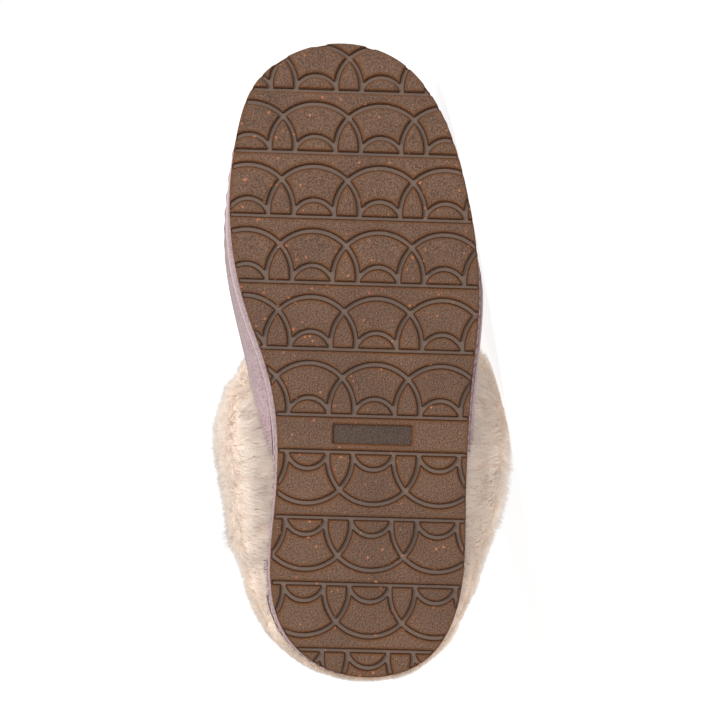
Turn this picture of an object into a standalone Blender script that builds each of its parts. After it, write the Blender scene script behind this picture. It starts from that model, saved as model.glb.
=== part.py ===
"""A left clog slipper with a deep shearling cuff, lying on its outer side.

The shoe is shaped in its own frame: x runs from heel to toe, y towards the outer side of the
foot and z up from the tread. An empty then lays it on its outer side, as it would come to rest
on a floor: on the edge of the sole at the ball and on the cuff at the back of the shoe.
"""

import math

import bmesh
import bpy
import numpy as np
from mathutils import Vector

# Driving sizes of the shoe, in metres and degrees
SOLE_LENGTH = 0.265
BALL_WIDTH = 0.103
INSTEP_HEIGHT = 0.082
HEEL_THICKNESS = 0.010
FOREFOOT_THICKNESS = 0.007
SPRING_START = 0.645 * SOLE_LENGTH
SPRING_RADIUS = 0.230
WEDGE_BACK = 0.28 * SOLE_LENGTH
WEDGE_FRONT = 0.49 * SOLE_LENGTH
GAP = 0.0003

# Tread: rows of scales on both sides of a plain waist band that carries a bare plate
WAIST_LINE = 0.0942
WAIST_BAND = 0.0153
ROW_PITCH = 0.0277
COLUMN_PITCH = 0.0277
COLUMN_SHIFT = 0.0012
SCALE_RADIUS = 0.0191
SCALE_INSET = 0.0026
BUD_RADIUS = 0.0089
BUD_INSET = -0.0017
GROOVE_DEPTH = 0.0017
SCALE_GROOVE = 0.0026
LINE_GROOVE = 0.0022
GROOVE_DRAFT = 0.0004
PLATE_LENGTH = 0.0337
PLATE_WIDTH = 0.0086
PLATE_CORNER = 0.0010
PLATE_DEPTH = 0.0012

# Side of the sole: a chamfered tread edge and a step below the top
TREAD_CHAMFER = 0.0008
SOLE_STEP = 0.0006
STEP_HEIGHT = 0.62

# Suede: the rand round the sole, and the upper that is stitched to it
RAND_HEIGHT = 0.0085
RAND_WALL = 0.0016
RAND_PROUD = 0.0006
RAND_BELLY = 0.0005
UPPER_WALL = 0.0018
UPPER_PROUD = 0.0013
VAMP_STEP = 0.0011
WALL_ROUNDNESS = 2.5
HEEL_WALL_ANGLE = 55.0
THROAT_WALL_ANGLE = 80.0

# Collar, an oval seen from above, and the wings of the vamp that end beside it
COLLAR_BACK = 0.080 * SOLE_LENGTH
COLLAR_FRONT = 0.500 * SOLE_LENGTH
COLLAR_WIDTH = 0.060
WING_STATION = 0.345 * SOLE_LENGTH
WING_LEAN = 0.075
WING_SPREAD = 0.10

# Shearling: the cuff that is turned out over the collar, and the footbed
CUFF_PILE = 0.026
CUFF_RISE = 0.013
CUFF_INSIDE = 0.009
CUFF_DROOP = 0.006
CUFF_PRESS = 0.006
LOCK_DEPTH = 0.0026
LOCKS_AROUND = 22
FOOTBED_THICKNESS = 0.0080

# Fineness of the faceted forms, and of the curves and slopes that they are read from
COLUMNS = 60
LOWER_ROWS = 6
UPPER_ROWS = 4
SCALE_STEPS = 8
BUD_STEPS = 4
SPRING_CUTS = 6
OUTLINE_POINTS = 1440
SPLINE_STEPS = 40
SLOPE_STEP = 0.0004
WING_EDGE = 0.0005
GROOVE_OVERCUT = 0.001
STEEPEST_LEAN = 30.0
STRAY = 0.0000001

# Seen from above, the sole at stations along its length: the station as a share of the length, then
# the outer edge, the inner edge and how far the upper swells past each, as shares of the ball width.
SOLE_STATIONS = (
    # station, outer, inner, outer swell, inner swell
    (0.030, 0.250, -0.240, 0.004, 0.004),
    (0.080, 0.343, -0.348, 0.010, 0.010),
    (0.150, 0.389, -0.392, 0.015, 0.020),
    (0.270, 0.396, -0.382, 0.015, 0.032),
    (0.380, 0.397, -0.381, 0.015, 0.058),
    (0.480, 0.409, -0.429, 0.014, 0.048),
    (0.580, 0.427, -0.525, 0.012, 0.022),
    (0.680, 0.412, -0.587, 0.012, 0.008),
    (0.770, 0.370, -0.601, 0.014, 0.004),
    (0.864, 0.300, -0.575, 0.016, 0.002),
    (0.937, 0.203, -0.511, 0.016, 0.002),
    (0.984, 0.083, -0.384, 0.012, 0.002),
)
HEEL_TIP = (0.000, -0.002)
TOE_TIP = (1.010, -0.146)

# Height of the upper's crest above the tread, as shares of the instep height
CREST = (
    # share of the sole's length, share of the instep height
    (0.00, 0.77),
    (0.10, 0.74),
    (0.28, 0.68),
    (0.40, 0.78),
    (0.50, 1.00),
    (0.60, 0.93),
    (0.72, 0.82),
    (0.84, 0.76),
    (0.94, 0.75),
    (1.00, 0.74),
)

# The cuff from the back of the heel to the throat, by shares of the half turn
CUFF_TURN = (
    # share of the half turn, depth as a share of CUFF_PILE, rise on the wall where its lower edge lies
    (0.00, 0.26, 0.20),
    (0.25, 0.36, 0.16),
    (0.40, 0.76, 0.12),
    (0.52, 0.90, 0.12),
    (0.62, 0.62, 0.27),
    (0.74, 0.46, 0.60),
    (0.87, 0.50, 0.82),
    (1.00, 0.55, 0.92),
)

# The cuff's outside from its lower edge up to the collar
CUFF_OUTSIDE = (
    # share of the way up the covered wall, share of the depth, how far the locks stand out here
    (0.00, 0.42, 1.0),
    (0.01, 0.87, 1.0),
    (0.13, 0.97, 0.6),
    (0.27, 1.00, 0.1),
    (0.42, 1.00, 1.0),
    (0.57, 1.00, 0.6),
    (0.72, 0.98, 0.1),
    (0.86, 0.96, 1.0),
    (1.00, 0.92, 0.5),
)
CUFF_ROLL = (30, 60, 90, 120, 150)


def closed_spline(points, count):
    """Points evenly spaced along the smooth closed curve through the given points."""
    points = np.asarray(points, float)
    chord = np.linalg.norm(np.roll(points, -1, axis=0) - points, axis=1)
    size = len(points)
    system = np.zeros((size, size))
    target = np.zeros((size, 2))
    for i in range(size):
        before, after = chord[i - 1], chord[i]
        system[i, i - 1] += after
        system[i, i] += 2 * (before + after)
        system[i, (i + 1) % size] += before
        rise_before = (points[i] - points[i - 1]) / before
        rise_after = (points[(i + 1) % size] - points[i]) / after
        target[i] = 3 * (after * rise_before + before * rise_after)
    slope = np.linalg.solve(system, target)
    dense = []
    share = np.linspace(0, 1, SPLINE_STEPS, endpoint=False)[:, None]
    for i in range(size):
        start, end = points[i], points[(i + 1) % size]
        out, into = slope[i] * chord[i], slope[(i + 1) % size] * chord[i]
        dense.append(
            start * (1 + 2 * share) * (1 - share) ** 2
            + end * share**2 * (3 - 2 * share)
            + out * share * (1 - share) ** 2
            - into * share**2 * (1 - share)
        )
    dense = np.concatenate(dense)
    dense = np.vstack([dense, dense[:1]])
    run = np.concatenate([[0], np.cumsum(np.linalg.norm(np.diff(dense, axis=0), axis=1))])
    wanted = np.linspace(0, run[-1], count, endpoint=False)
    return np.stack([np.interp(wanted, run, dense[:, k]) for k in (0, 1)], axis=1)


def smooth(table, column, where):
    """A table's column read smoothly between its rows; the first column holds the stations."""
    stations = np.array([row[0] for row in table])
    values = np.array([row[column] for row in table])
    slopes = np.gradient(values, stations)
    where = np.clip(where, stations[0], stations[-1])
    cell = np.clip(np.searchsorted(stations, where) - 1, 0, len(stations) - 2)
    width = stations[cell + 1] - stations[cell]
    share = (where - stations[cell]) / width
    return (
        values[cell] * (1 + 2 * share) * (1 - share) ** 2
        + values[cell + 1] * share**2 * (3 - 2 * share)
        + slopes[cell] * width * share * (1 - share) ** 2
        - slopes[cell + 1] * width * share**2 * (1 - share)
    )


def unbend(x):
    """How far along the flat tread a point lies that is at x on the sprung shoe."""
    past = np.clip((x - SPRING_START) / SPRING_RADIUS, 0, 0.99)
    return np.where(x > SPRING_START, SPRING_START + SPRING_RADIUS * np.arcsin(past), x)


def bend(points):
    """Lifts the toe: the flat shoe beyond the spring's start is rolled up on an arc."""
    points = np.array(points, float)
    turn = np.clip((points[..., 0] - SPRING_START) / SPRING_RADIUS, 0, None)
    inner = SPRING_RADIUS - points[..., 2]
    bent = turn > 0
    points[..., 0] = np.where(bent, SPRING_START + inner * np.sin(turn), points[..., 0])
    points[..., 2] = np.where(bent, SPRING_RADIUS - inner * np.cos(turn), points[..., 2])
    return points


def sole_top(x):
    """Thickness of the sole at x along the flat tread: a low wedge under the heel."""
    share = np.clip((x - WEDGE_BACK) / (WEDGE_FRONT - WEDGE_BACK), 0, 1)
    return HEEL_THICKNESS + (FOREFOOT_THICKNESS - HEEL_THICKNESS) * share


def make_outline():
    """The flat sole's outline from the heel along the outer side to the toe and back."""
    outer = [(row[0], row[1]) for row in SOLE_STATIONS]
    inner = [(row[0], row[2]) for row in reversed(SOLE_STATIONS)]
    shares = np.array([HEEL_TIP, *outer, TOE_TIP, *inner])
    points = np.stack([unbend(shares[:, 0] * SOLE_LENGTH), shares[:, 1] * BALL_WIDTH], axis=1)
    return closed_spline(points, OUTLINE_POINTS)


OUTLINE = make_outline()
OUTLINE_TURNS = np.arange(len(OUTLINE) + 1) / len(OUTLINE)
OUTLINE_SLOPES = np.roll(OUTLINE, -1, axis=0) - np.roll(OUTLINE, 1, axis=0)
OUTLINE_SLOPES /= np.linalg.norm(OUTLINE_SLOPES, axis=1)[:, None]
TOE_TURN = OUTLINE_TURNS[int(OUTLINE[:, 0].argmax())]


def around(values, turn):
    """Values on the outline read at shares of a full turn."""
    wrapped = np.concatenate([values, values[:1]])
    turn = np.mod(turn, 1.0)
    return np.stack([np.interp(turn, OUTLINE_TURNS, wrapped[:, k]) for k in (0, 1)], axis=-1)


def outward(turn):
    """Unit vectors that point out of the sole's outline, seen from above."""
    slope = around(OUTLINE_SLOPES, turn)
    normal = np.stack([-slope[..., 1], slope[..., 0]], axis=-1)
    normal /= np.linalg.norm(normal, axis=-1)[..., None]
    middle = around(OUTLINE, turn) - OUTLINE.mean(axis=0)
    return np.where((normal * middle).sum(axis=-1)[..., None] < 0, -normal, normal)


def half_turn(turn):
    """Share of the way from the heel to the toe along either side, and the side's sign."""
    turn = np.mod(turn, 1.0)
    outer_side = turn <= TOE_TURN
    share = np.where(outer_side, turn / TOE_TURN, (1 - turn) / (1 - TOE_TURN))
    return share, np.where(outer_side, 1.0, -1.0)


def collar_share(turn):
    """The half turn round the collar that belongs to a place on the outline."""
    share, _ = half_turn(turn)
    return 0.35 * share + 0.65 * (1 - (1 - share) ** 2)


def collar_point(turn):
    """A point of the collar's oval, with its outward direction, both seen from above."""
    _, side = half_turn(turn)
    angle = math.pi * collar_share(turn)
    middle = (COLLAR_BACK + COLLAR_FRONT) / 2
    half_length = (COLLAR_FRONT - COLLAR_BACK) / 2
    half_width = COLLAR_WIDTH / 2
    point = np.stack(
        [middle - half_length * np.cos(angle), side * half_width * np.sin(angle)], axis=-1
    )
    normal = np.stack(
        [-half_width * np.cos(angle), side * half_length * np.sin(angle)], axis=-1
    )
    return point, normal / np.linalg.norm(normal, axis=-1)[..., None]


def wall_point(turn, rise):
    """A point on the upper's outer skin: turn runs round the shoe, rise from the rand to the collar."""
    station = around(OUTLINE, turn)
    normal = outward(turn)
    foot = station + normal * UPPER_PROUD
    height = sole_top(station[..., 0]) + RAND_HEIGHT + 2 * GAP
    foot = bend(np.concatenate([foot, height[..., None]], axis=-1))
    collar, _ = collar_point(turn)
    front = collar_share(turn)
    full = np.radians(
        HEEL_WALL_ANGLE + (THROAT_WALL_ANGLE - HEEL_WALL_ANGLE) * (1 - np.cos(math.pi * front)) / 2
    )
    power = 2 / WALL_ROUNDNESS
    inwards = (1 - np.cos(rise * full) ** power) / (1 - np.cos(full) ** power)
    upwards = np.sin(rise * full) ** power / np.sin(full) ** power
    _, side = half_turn(turn)
    place = foot[..., 0] / SOLE_LENGTH
    swell = np.where(side > 0, smooth(SOLE_STATIONS, 3, place), smooth(SOLE_STATIONS, 4, place))
    swell = swell * BALL_WIDTH * np.sin(math.pi * np.clip(upwards, 0, 1) ** 0.7)
    plan = foot[..., :2] + (collar - foot[..., :2]) * inwards[..., None] + normal * swell[..., None]
    crest = smooth(CREST, 1, plan[..., 0] / SOLE_LENGTH) * INSTEP_HEIGHT
    level = foot[..., 2] + (crest - foot[..., 2]) * upwards
    return np.concatenate([plan, level[..., None]], axis=-1)


def wing_turns():
    """Places on the outline where the wings of the vamp end, on the outer and inner side."""
    places = []
    for side in (1, -1):
        half = np.flatnonzero(OUTLINE[:, 1] * side > BALL_WIDTH / 5)
        nearest = half[np.abs(OUTLINE[half, 0] - WING_STATION).argmin()]
        places.append(OUTLINE_TURNS[nearest])
    return places


WINGS = wing_turns()


def make_turns():
    """Columns round the shoe, with a close pair at each edge of the vamp."""
    turns = list(np.arange(COLUMNS) / COLUMNS)
    for wing in WINGS:
        turns.remove(min(turns, key=lambda turn: abs(turn - wing)))
        turns += [wing - WING_EDGE, wing + WING_EDGE]
    return np.array(sorted(turns))


TURNS = make_turns()


def leaning(turn, rise):
    """Columns lean forward beside the wings, so that one of them follows each wing's edge."""
    lean = np.zeros_like(turn)
    for wing, way in zip(WINGS, (1, -1)):
        away = np.abs(turn - wing)
        lean = lean + way * np.exp(-((away / WING_SPREAD) ** 2))
    return turn + WING_LEAN * lean * rise


def wall_layer(turn, rise, out):
    """The upper's wall function: points at a distance out of its outer skin."""
    turn = np.broadcast_to(turn, np.broadcast_shapes(turn.shape, rise.shape))
    rise = np.broadcast_to(rise, turn.shape)
    step = SLOPE_STEP
    lowest = 5 * step
    place = leaning(turn, rise)
    point = wall_point(place, rise)
    along = wall_point(place + step, rise) - wall_point(place - step, rise)
    low = np.clip(rise - step, lowest, 1)
    high = np.clip(rise + step, lowest + step, 1)
    up = wall_point(place, high) - wall_point(place, low)
    normal = np.cross(up, along)
    normal /= np.linalg.norm(normal, axis=-1)[..., None]
    heart = np.array([SOLE_LENGTH / 2, 0, INSTEP_HEIGHT / 4])
    normal = np.where(((point - heart) * normal).sum(axis=-1)[..., None] < 0, -normal, normal)
    out = np.broadcast_to(out, turn.shape)
    return point + normal * out[..., None], up / np.linalg.norm(up, axis=-1)[..., None]


def vamp_step(turn):
    """The vamp's thickness over the quarter, in front of the wings' edges."""
    return np.where((turn > WINGS[0]) & (turn < WINGS[1]), VAMP_STEP, 0.0)


def cuff_edge(turn):
    """Rise on the wall where the cuff's lower edge lies."""
    return smooth(CUFF_TURN, 2, collar_share(turn))


def wall_rises(turn):
    """Rows of the upper, from its lower edge to the cuff's edge and on to the collar."""
    edge = cuff_edge(turn)[None, :]
    lower = np.linspace(0, 1, LOWER_ROWS + 1)[:-1, None] * edge
    upper = edge + (1 - edge) * np.linspace(0, 1, UPPER_ROWS + 1)[:, None]
    return np.concatenate([lower, upper])


def new_mesh_object(name, bm, collection):
    """Turns a bmesh into an object of the given collection, with its faces pointing out."""
    bmesh.ops.recalc_face_normals(bm, faces=bm.faces)
    mesh = bpy.data.meshes.new(name)
    bm.to_mesh(mesh)
    bm.free()
    made = bpy.data.objects.new(name, mesh)
    collection.objects.link(made)
    return made


def ring_loft(name, rings, collection, closed):
    """A mesh through rings of points; closed joins the last ring to the first, else both are capped."""
    bm = bmesh.new()
    rows = [[bm.verts.new(point) for point in ring] for ring in rings]
    size = len(rows[0])
    pairs = list(zip(rows, rows[1:]))
    if closed:
        pairs.append((rows[-1], rows[0]))
    for low, high in pairs:
        for i in range(size):
            after = (i + 1) % size
            bm.faces.new((low[i], low[after], high[after], high[i]))
    if not closed:
        bm.faces.new(rows[0])
        bm.faces.new(rows[-1])
    bmesh.ops.triangulate(bm, faces=[face for face in bm.faces if len(face.verts) == 4])
    return new_mesh_object(name, bm, collection)


def flat_ring(grow, height):
    """The flat sole's outline, grown and at one height."""
    turn = np.arange(COLUMNS) / COLUMNS
    plan = around(OUTLINE, turn) + outward(turn) * grow
    return np.concatenate([plan, np.full((COLUMNS, 1), height)], axis=1)


def groove(bm, centres, normals, mouth, depth):
    """Adds a closed cutter with sloping walls that follows a path on the tread."""
    slope = GROOVE_DRAFT / depth
    rows = []
    for centre, normal in zip(centres, normals):
        centre, normal = Vector((*centre, 0)), Vector((*normal, 0))
        row = []
        for side, height in ((-1, -GROOVE_OVERCUT), (-1, depth), (1, depth), (1, -GROOVE_OVERCUT)):
            half = mouth / 2 - slope * height
            row.append(bm.verts.new(centre + normal * side * half + Vector((0, 0, height))))
        rows.append(row)
    for low, high in zip(rows, rows[1:]):
        for k in range(4):
            after = (k + 1) % 4
            bm.faces.new((low[k], low[after], high[after], high[k]))
    bm.faces.new(rows[0])
    bm.faces.new(rows[-1])


def arc_groove(bm, base, facing, middle, radius, inset, steps):
    """Adds one arch of the tread: it stands on a row's base line and faces toe or heel."""
    dip = math.asin(max(-1.0, min(1.0, inset / radius)))
    centres = []
    normals = []
    for angle in np.linspace(-dip, math.pi + dip, steps + 1):
        normal = (facing * math.sin(angle), math.cos(angle))
        centres.append((base + facing * inset + radius * normal[0], middle + radius * normal[1]))
        normals.append(normal)
    groove(bm, centres, normals, SCALE_GROOVE, GROOVE_DEPTH)


def tread_rows():
    """Base lines of the rows of scales, with the way that each row faces."""
    rows = []
    line = WAIST_LINE
    while line > 0:
        rows.append((line, -1))
        line -= ROW_PITCH
    line = WAIST_LINE + WAIST_BAND
    while line < OUTLINE[:, 0].max() - SCALE_INSET:
        rows.append((line, 1))
        line += ROW_PITCH
    return rows


def tread_columns():
    """Numbers of the columns of scales whose arches reach onto the sole."""
    reach = BALL_WIDTH * 0.62 + SCALE_RADIUS
    most = int(reach / COLUMN_PITCH)
    return [k for k in range(-most, most + 1) if abs(COLUMN_SHIFT + k * COLUMN_PITCH) < reach]


def add_cutter(name, bm, target, collection):
    """Makes a cutter of a bmesh and cuts the target with it."""
    cutter = new_mesh_object(name, bm, collection)
    cutter.hide_render = True
    cutter.display_type = "WIRE"
    cut = target.modifiers.new(name, "BOOLEAN")
    cut.operation = "DIFFERENCE"
    cut.solver = "EXACT"
    cut.object = cutter


def cut_tread(sole, collection):
    """Cuts the straight lines, the scales, the buds inside them and the plate's recess."""
    lines = bmesh.new()
    for base, _ in tread_rows():
        ends = ((base, -BALL_WIDTH), (base, BALL_WIDTH))
        groove(lines, ends, ((-1, 0), (-1, 0)), LINE_GROOVE, GROOVE_DEPTH)
    add_cutter("cut_lines", lines, sole, collection)
    for parity, name in enumerate(("cut_even_scales", "cut_odd_scales")):
        scales = bmesh.new()
        for base, facing in tread_rows():
            for k in tread_columns():
                if k % 2 == parity:
                    middle = COLUMN_SHIFT + k * COLUMN_PITCH
                    arc_groove(scales, base, facing, middle, SCALE_RADIUS, SCALE_INSET, SCALE_STEPS)
        add_cutter(name, scales, sole, collection)
    buds = bmesh.new()
    for base, facing in tread_rows():
        for k in tread_columns():
            middle = COLUMN_SHIFT + k * COLUMN_PITCH
            arc_groove(buds, base, facing, middle, BUD_RADIUS, BUD_INSET, BUD_STEPS)
    add_cutter("cut_buds", buds, sole, collection)
    plate = bmesh.new()
    bmesh.ops.create_cube(plate, size=1)
    bmesh.ops.scale(plate, vec=(PLATE_WIDTH, PLATE_LENGTH, 2 * PLATE_DEPTH), verts=plate.verts)
    upright = [edge for edge in plate.edges if edge.verts[0].co.xy == edge.verts[1].co.xy]
    bmesh.ops.bevel(
        plate, geom=upright, offset=PLATE_CORNER, segments=3, affect="EDGES", profile=0.5
    )
    middle = WAIST_LINE + WAIST_BAND / 2
    bmesh.ops.translate(plate, vec=(middle, COLUMN_SHIFT / 2, 0), verts=plate.verts)
    add_cutter("cut_plate", plate, sole, collection)


def evaluated_bmesh(source):
    """The object's mesh with its modifiers applied."""
    evaluated = source.evaluated_get(bpy.context.evaluated_depsgraph_get())
    bm = bmesh.new()
    bm.from_mesh(evaluated.to_mesh())
    evaluated.to_mesh_clear()
    return bm


def cross_cuts(bm):
    """Splits a flat slab where the wedge bends and along the toe spring, then into triangles."""
    toe = OUTLINE[:, 0].max()
    cuts = [WEDGE_BACK, WEDGE_FRONT]
    cuts += [SPRING_START + (toe - SPRING_START) * i / SPRING_CUTS for i in range(SPRING_CUTS)]
    for place in cuts:
        everything = bm.verts[:] + bm.edges[:] + bm.faces[:]
        bmesh.ops.bisect_plane(
            bm, geom=everything, dist=STRAY, plane_co=(place, 0, 0), plane_no=(1, 0, 0)
        )
    bmesh.ops.triangulate(bm, faces=bm.faces)


def move_points(bm, change):
    """Moves every vertex through a function of an array of points."""
    points = change(np.array([vert.co[:] for vert in bm.verts]))
    for vert, point in zip(bm.verts, points):
        vert.co = point


def make_outsole(collection, cutters):
    """Treaded rubber outsole: cut flat, thinned in front of the heel wedge, then sprung."""
    rings = [
        flat_ring(-TREAD_CHAMFER, 0),
        flat_ring(0, TREAD_CHAMFER),
        flat_ring(0, HEEL_THICKNESS * STEP_HEIGHT),
        flat_ring(-SOLE_STEP, HEEL_THICKNESS * STEP_HEIGHT + SOLE_STEP),
        flat_ring(-SOLE_STEP, HEEL_THICKNESS),
    ]
    slab = ring_loft("outsole_slab", rings, cutters, closed=False)
    cut_tread(slab, cutters)
    bm = evaluated_bmesh(slab)
    bpy.data.objects.remove(slab)
    cross_cuts(bm)

    def thin_and_bend(points):
        above = np.clip(points[:, 2] - GROOVE_DEPTH, 0, None)
        share = (sole_top(points[:, 0]) - GROOVE_DEPTH) / (HEEL_THICKNESS - GROOVE_DEPTH)
        points[:, 2] = np.where(above > 0, GROOVE_DEPTH + above * share, points[:, 2])
        return bend(points)

    move_points(bm, thin_and_bend)
    return new_mesh_object("outsole", bm, collection)


def make_footbed(collection, floor):
    """Shearling footbed inside the rand, a slab that follows the sole's top."""
    edge = min(RAND_PROUD - RAND_WALL, UPPER_PROUD - UPPER_WALL) - 2 * GAP
    rounding = FOOTBED_THICKNESS / 4
    rings = [
        flat_ring(edge, 0),
        flat_ring(edge, FOOTBED_THICKNESS - rounding),
        flat_ring(edge - rounding, FOOTBED_THICKNESS),
    ]
    slab = ring_loft("footbed_slab", rings, collection, closed=False)
    bm = evaluated_bmesh(slab)
    bpy.data.objects.remove(slab)
    cross_cuts(bm)

    def lift_and_bend(points):
        points[:, 2] += sole_top(points[:, 0]) + GAP
        return floor.press(bend(points), RAND_WALL + 2 * GAP)

    move_points(bm, lift_and_bend)
    return new_mesh_object("footbed", bm, collection)


def rand_ring(proud, share):
    """A ring of the rand at a share of its height, bent with the sole."""
    plan = around(OUTLINE, TURNS) + outward(TURNS) * proud
    height = sole_top(plan[:, 0]) + GAP + share * RAND_HEIGHT
    return bend(np.concatenate([plan, height[:, None]], axis=1))


def make_rand(collection, floor):
    """Suede rand: a strip that stands on the outsole's rim all round the shoe."""
    belly = RAND_PROUD + RAND_BELLY
    outside = [(RAND_PROUD, 0.0), (belly, 0.35), (belly, 0.7), (RAND_PROUD, 1.0)]
    rings = [floor.press(rand_ring(proud, share), 0) for proud, share in outside]
    for proud, share in reversed(outside):
        rings.append(floor.press(rand_ring(proud - RAND_WALL, share), RAND_WALL))
    return ring_loft("rand", rings, collection, closed=True)


def make_upper(collection, floor):
    """Suede upper, one hollow wall: quarter and vamp, with the vamp standing proud of the quarter."""
    rises = wall_rises(TURNS)
    outer, _ = wall_layer(TURNS[None, :], rises, vamp_step(TURNS)[None, :])
    inner, _ = wall_layer(TURNS[None, :], rises, np.full((1, 1), -UPPER_WALL))
    rings = [floor.press(ring, 0) for ring in outer]
    rings += [floor.press(ring, UPPER_WALL) for ring in inner[::-1]]
    return ring_loft("upper", rings, collection, closed=True)


def lock_bulge(turn, tier, weight):
    """How far a lock stands out: staggered tiers of locks round the cuff."""
    wave = np.cos(math.pi * (LOCKS_AROUND * collar_share(turn) + tier))
    return LOCK_DEPTH * weight * (0.45 + 0.55 * wave)


def cuff_rings():
    """Rings of the cuff: up the wall, over the collar, round the roll and down the outside."""
    turns = TURNS[None, :]
    rises = wall_rises(TURNS)[LOWER_ROWS:]
    skin = vamp_step(TURNS)[None, :] + GAP
    wall, up = wall_layer(turns, rises, skin)
    inside, inside_up = wall_layer(turns, rises, np.full((1, 1), -UPPER_WALL - GAP))
    rings = list(wall[:-1])
    rings.append(wall[-1] + up[-1] * GAP)
    rings.append(inside[-1] + inside_up[-1] * GAP)
    rings.append(inside[-2])
    lining, _ = wall_layer(turns, rises[-2:-1], np.full((1, 1), -UPPER_WALL - CUFF_INSIDE * 0.7))
    rings.append(lining[0])

    depth = smooth(CUFF_TURN, 1, collar_share(TURNS)) * CUFF_PILE
    top = np.ones((1, 1))
    edge, climb = (layer[0] for layer in wall_layer(turns, top, np.zeros((1, 1))))
    away = wall_layer(turns, top, top)[0][0] - edge
    last_share = CUFF_OUTSIDE[-1][1]
    for angle in reversed(CUFF_ROLL):
        turned = math.radians(angle)
        side = depth * last_share if angle < 90 else np.full_like(depth, CUFF_INSIDE)
        sideways = away * (side * math.cos(turned))[:, None]
        rings.append(edge + sideways + climb * (CUFF_RISE * math.sin(turned)))

    low = cuff_edge(TURNS)
    drape = np.clip(1 - low, 0, 1)
    for row, (way, share, weight) in reversed(list(enumerate(CUFF_OUTSIDE))):
        rise = low + (1 - low) * way
        bulge = lock_bulge(TURNS, row // 3, weight)
        ring = wall_layer(turns, rise[None, :], (depth * share + bulge)[None, :])[0][0]
        if way < CUFF_OUTSIDE[2][0]:
            ring[:, 2] -= (CUFF_DROOP + bulge) * drape * share
        rings.append(ring)
    return rings


class Floor:
    """The plane that the shoe lies on: it touches the sole's outer edge and presses the cuff."""

    def __init__(self, sole, cuff):
        low, high = 0.0, math.radians(STEEPEST_LEAN)
        for _ in range(40):
            self.lean = (low + high) / 2
            if self.reach(cuff).max() - CUFF_PRESS > self.reach(sole).max():
                low = self.lean
            else:
                high = self.lean
        self.level = self.reach(sole).max()

    def reach(self, points):
        return points[:, 0] * math.sin(self.lean) + points[:, 1] * math.cos(self.lean)

    def press(self, points, depth):
        """Flattens what would pass the floor; depth is how far a layer lies inside the skin."""
        past = np.clip(self.reach(points) - (self.level - depth), 0, None)
        away = np.array([math.sin(self.lean), math.cos(self.lean), 0])
        return points - past[:, None] * away


def make_cuff(collection, floor):
    """Shearling cuff: a thick ring that hooks over the collar, with locks fused on its outside."""
    rings = [floor.press(ring, 0) for ring in cuff_rings()]
    return ring_loft("fur_cuff", rings, collection, closed=True)


def add_material(target, name, colour, roughness):
    """Gives a piece its own plain finish."""
    material = bpy.data.materials.new(name)
    material.use_nodes = True
    shader = material.node_tree.nodes["Principled BSDF"]
    shader.inputs["Base Color"].default_value = (*colour, 1)
    shader.inputs["Roughness"].default_value = roughness
    shader.inputs["Metallic"].default_value = 0.0
    material.diffuse_color = (*colour, 1)
    target.data.materials.append(material)


def lay_down(pieces, floor, collection):
    """Lays the shoe on its outer side, with the middle of its footprint at the origin."""
    pose = bpy.data.objects.new("slipper_pose", None)
    collection.objects.link(pose)
    pose.rotation_euler = (math.radians(-90), floor.lean, 0)
    for piece in pieces:
        piece.parent = pose
    bpy.context.view_layer.update()
    corners = []
    for piece in pieces:
        corners += [(piece.matrix_world @ vert.co)[:] for vert in piece.data.vertices]
    corners = np.array(corners)
    middle = (corners.min(axis=0) + corners.max(axis=0)) / 2
    pose.location = (-middle[0], -middle[1], -corners[:, 2].min())
    bpy.context.view_layer.update()


def main():
    for old in list(bpy.data.objects):
        bpy.data.objects.remove(old)
    slipper = bpy.data.collections.new("clog_slipper")
    cutters = bpy.data.collections.new("cutters")
    bpy.context.scene.collection.children.link(slipper)
    bpy.context.scene.collection.children.link(cutters)

    outsole = make_outsole(slipper, cutters)
    sole_points = np.array([vert.co[:] for vert in outsole.data.vertices])
    floor = Floor(sole_points, np.concatenate(cuff_rings()))
    footbed = make_footbed(slipper, floor)
    rand = make_rand(slipper, floor)
    upper = make_upper(slipper, floor)
    cuff = make_cuff(slipper, floor)

    add_material(outsole, "gum_rubber", (0.20, 0.10, 0.055), 0.62)
    add_material(rand, "lilac_suede_rand", (0.42, 0.34, 0.36), 0.95)
    add_material(upper, "lilac_suede", (0.40, 0.32, 0.34), 0.95)
    add_material(cuff, "cream_shearling", (0.80, 0.70, 0.58), 1.0)
    add_material(footbed, "cream_fleece", (0.76, 0.66, 0.54), 1.0)
    lay_down((outsole, footbed, rand, upper, cuff), floor, slipper)


main()
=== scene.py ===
import math

import bmesh
import bpy
import numpy as np
from mathutils import Matrix, Vector, geometry, kdtree


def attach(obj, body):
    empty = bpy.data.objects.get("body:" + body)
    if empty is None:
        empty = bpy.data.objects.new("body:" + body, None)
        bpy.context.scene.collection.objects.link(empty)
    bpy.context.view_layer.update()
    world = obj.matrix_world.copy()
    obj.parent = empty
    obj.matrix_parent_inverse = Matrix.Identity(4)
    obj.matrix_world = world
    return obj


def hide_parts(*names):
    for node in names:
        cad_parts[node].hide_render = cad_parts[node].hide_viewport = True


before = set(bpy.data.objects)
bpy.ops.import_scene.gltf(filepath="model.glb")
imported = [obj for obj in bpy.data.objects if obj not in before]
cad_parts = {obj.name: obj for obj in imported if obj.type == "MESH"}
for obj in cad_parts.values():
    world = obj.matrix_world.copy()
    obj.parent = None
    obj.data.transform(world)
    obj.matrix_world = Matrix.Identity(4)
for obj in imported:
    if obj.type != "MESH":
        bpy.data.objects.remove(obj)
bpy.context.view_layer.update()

# The room: the slipper lies on its outer side on a pale floor, lit softly from above and from the
# toe end. The camera looks level at its tread, rolled so that the toe is up. Lengths are metres.
LEAN = math.radians(12.912339)
SHOE_PLACE = np.array([-0.1279372, -0.0493158, 0.0826854])
CAMERA_AIM = (0.1330, -0.0055, 0.0)
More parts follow.
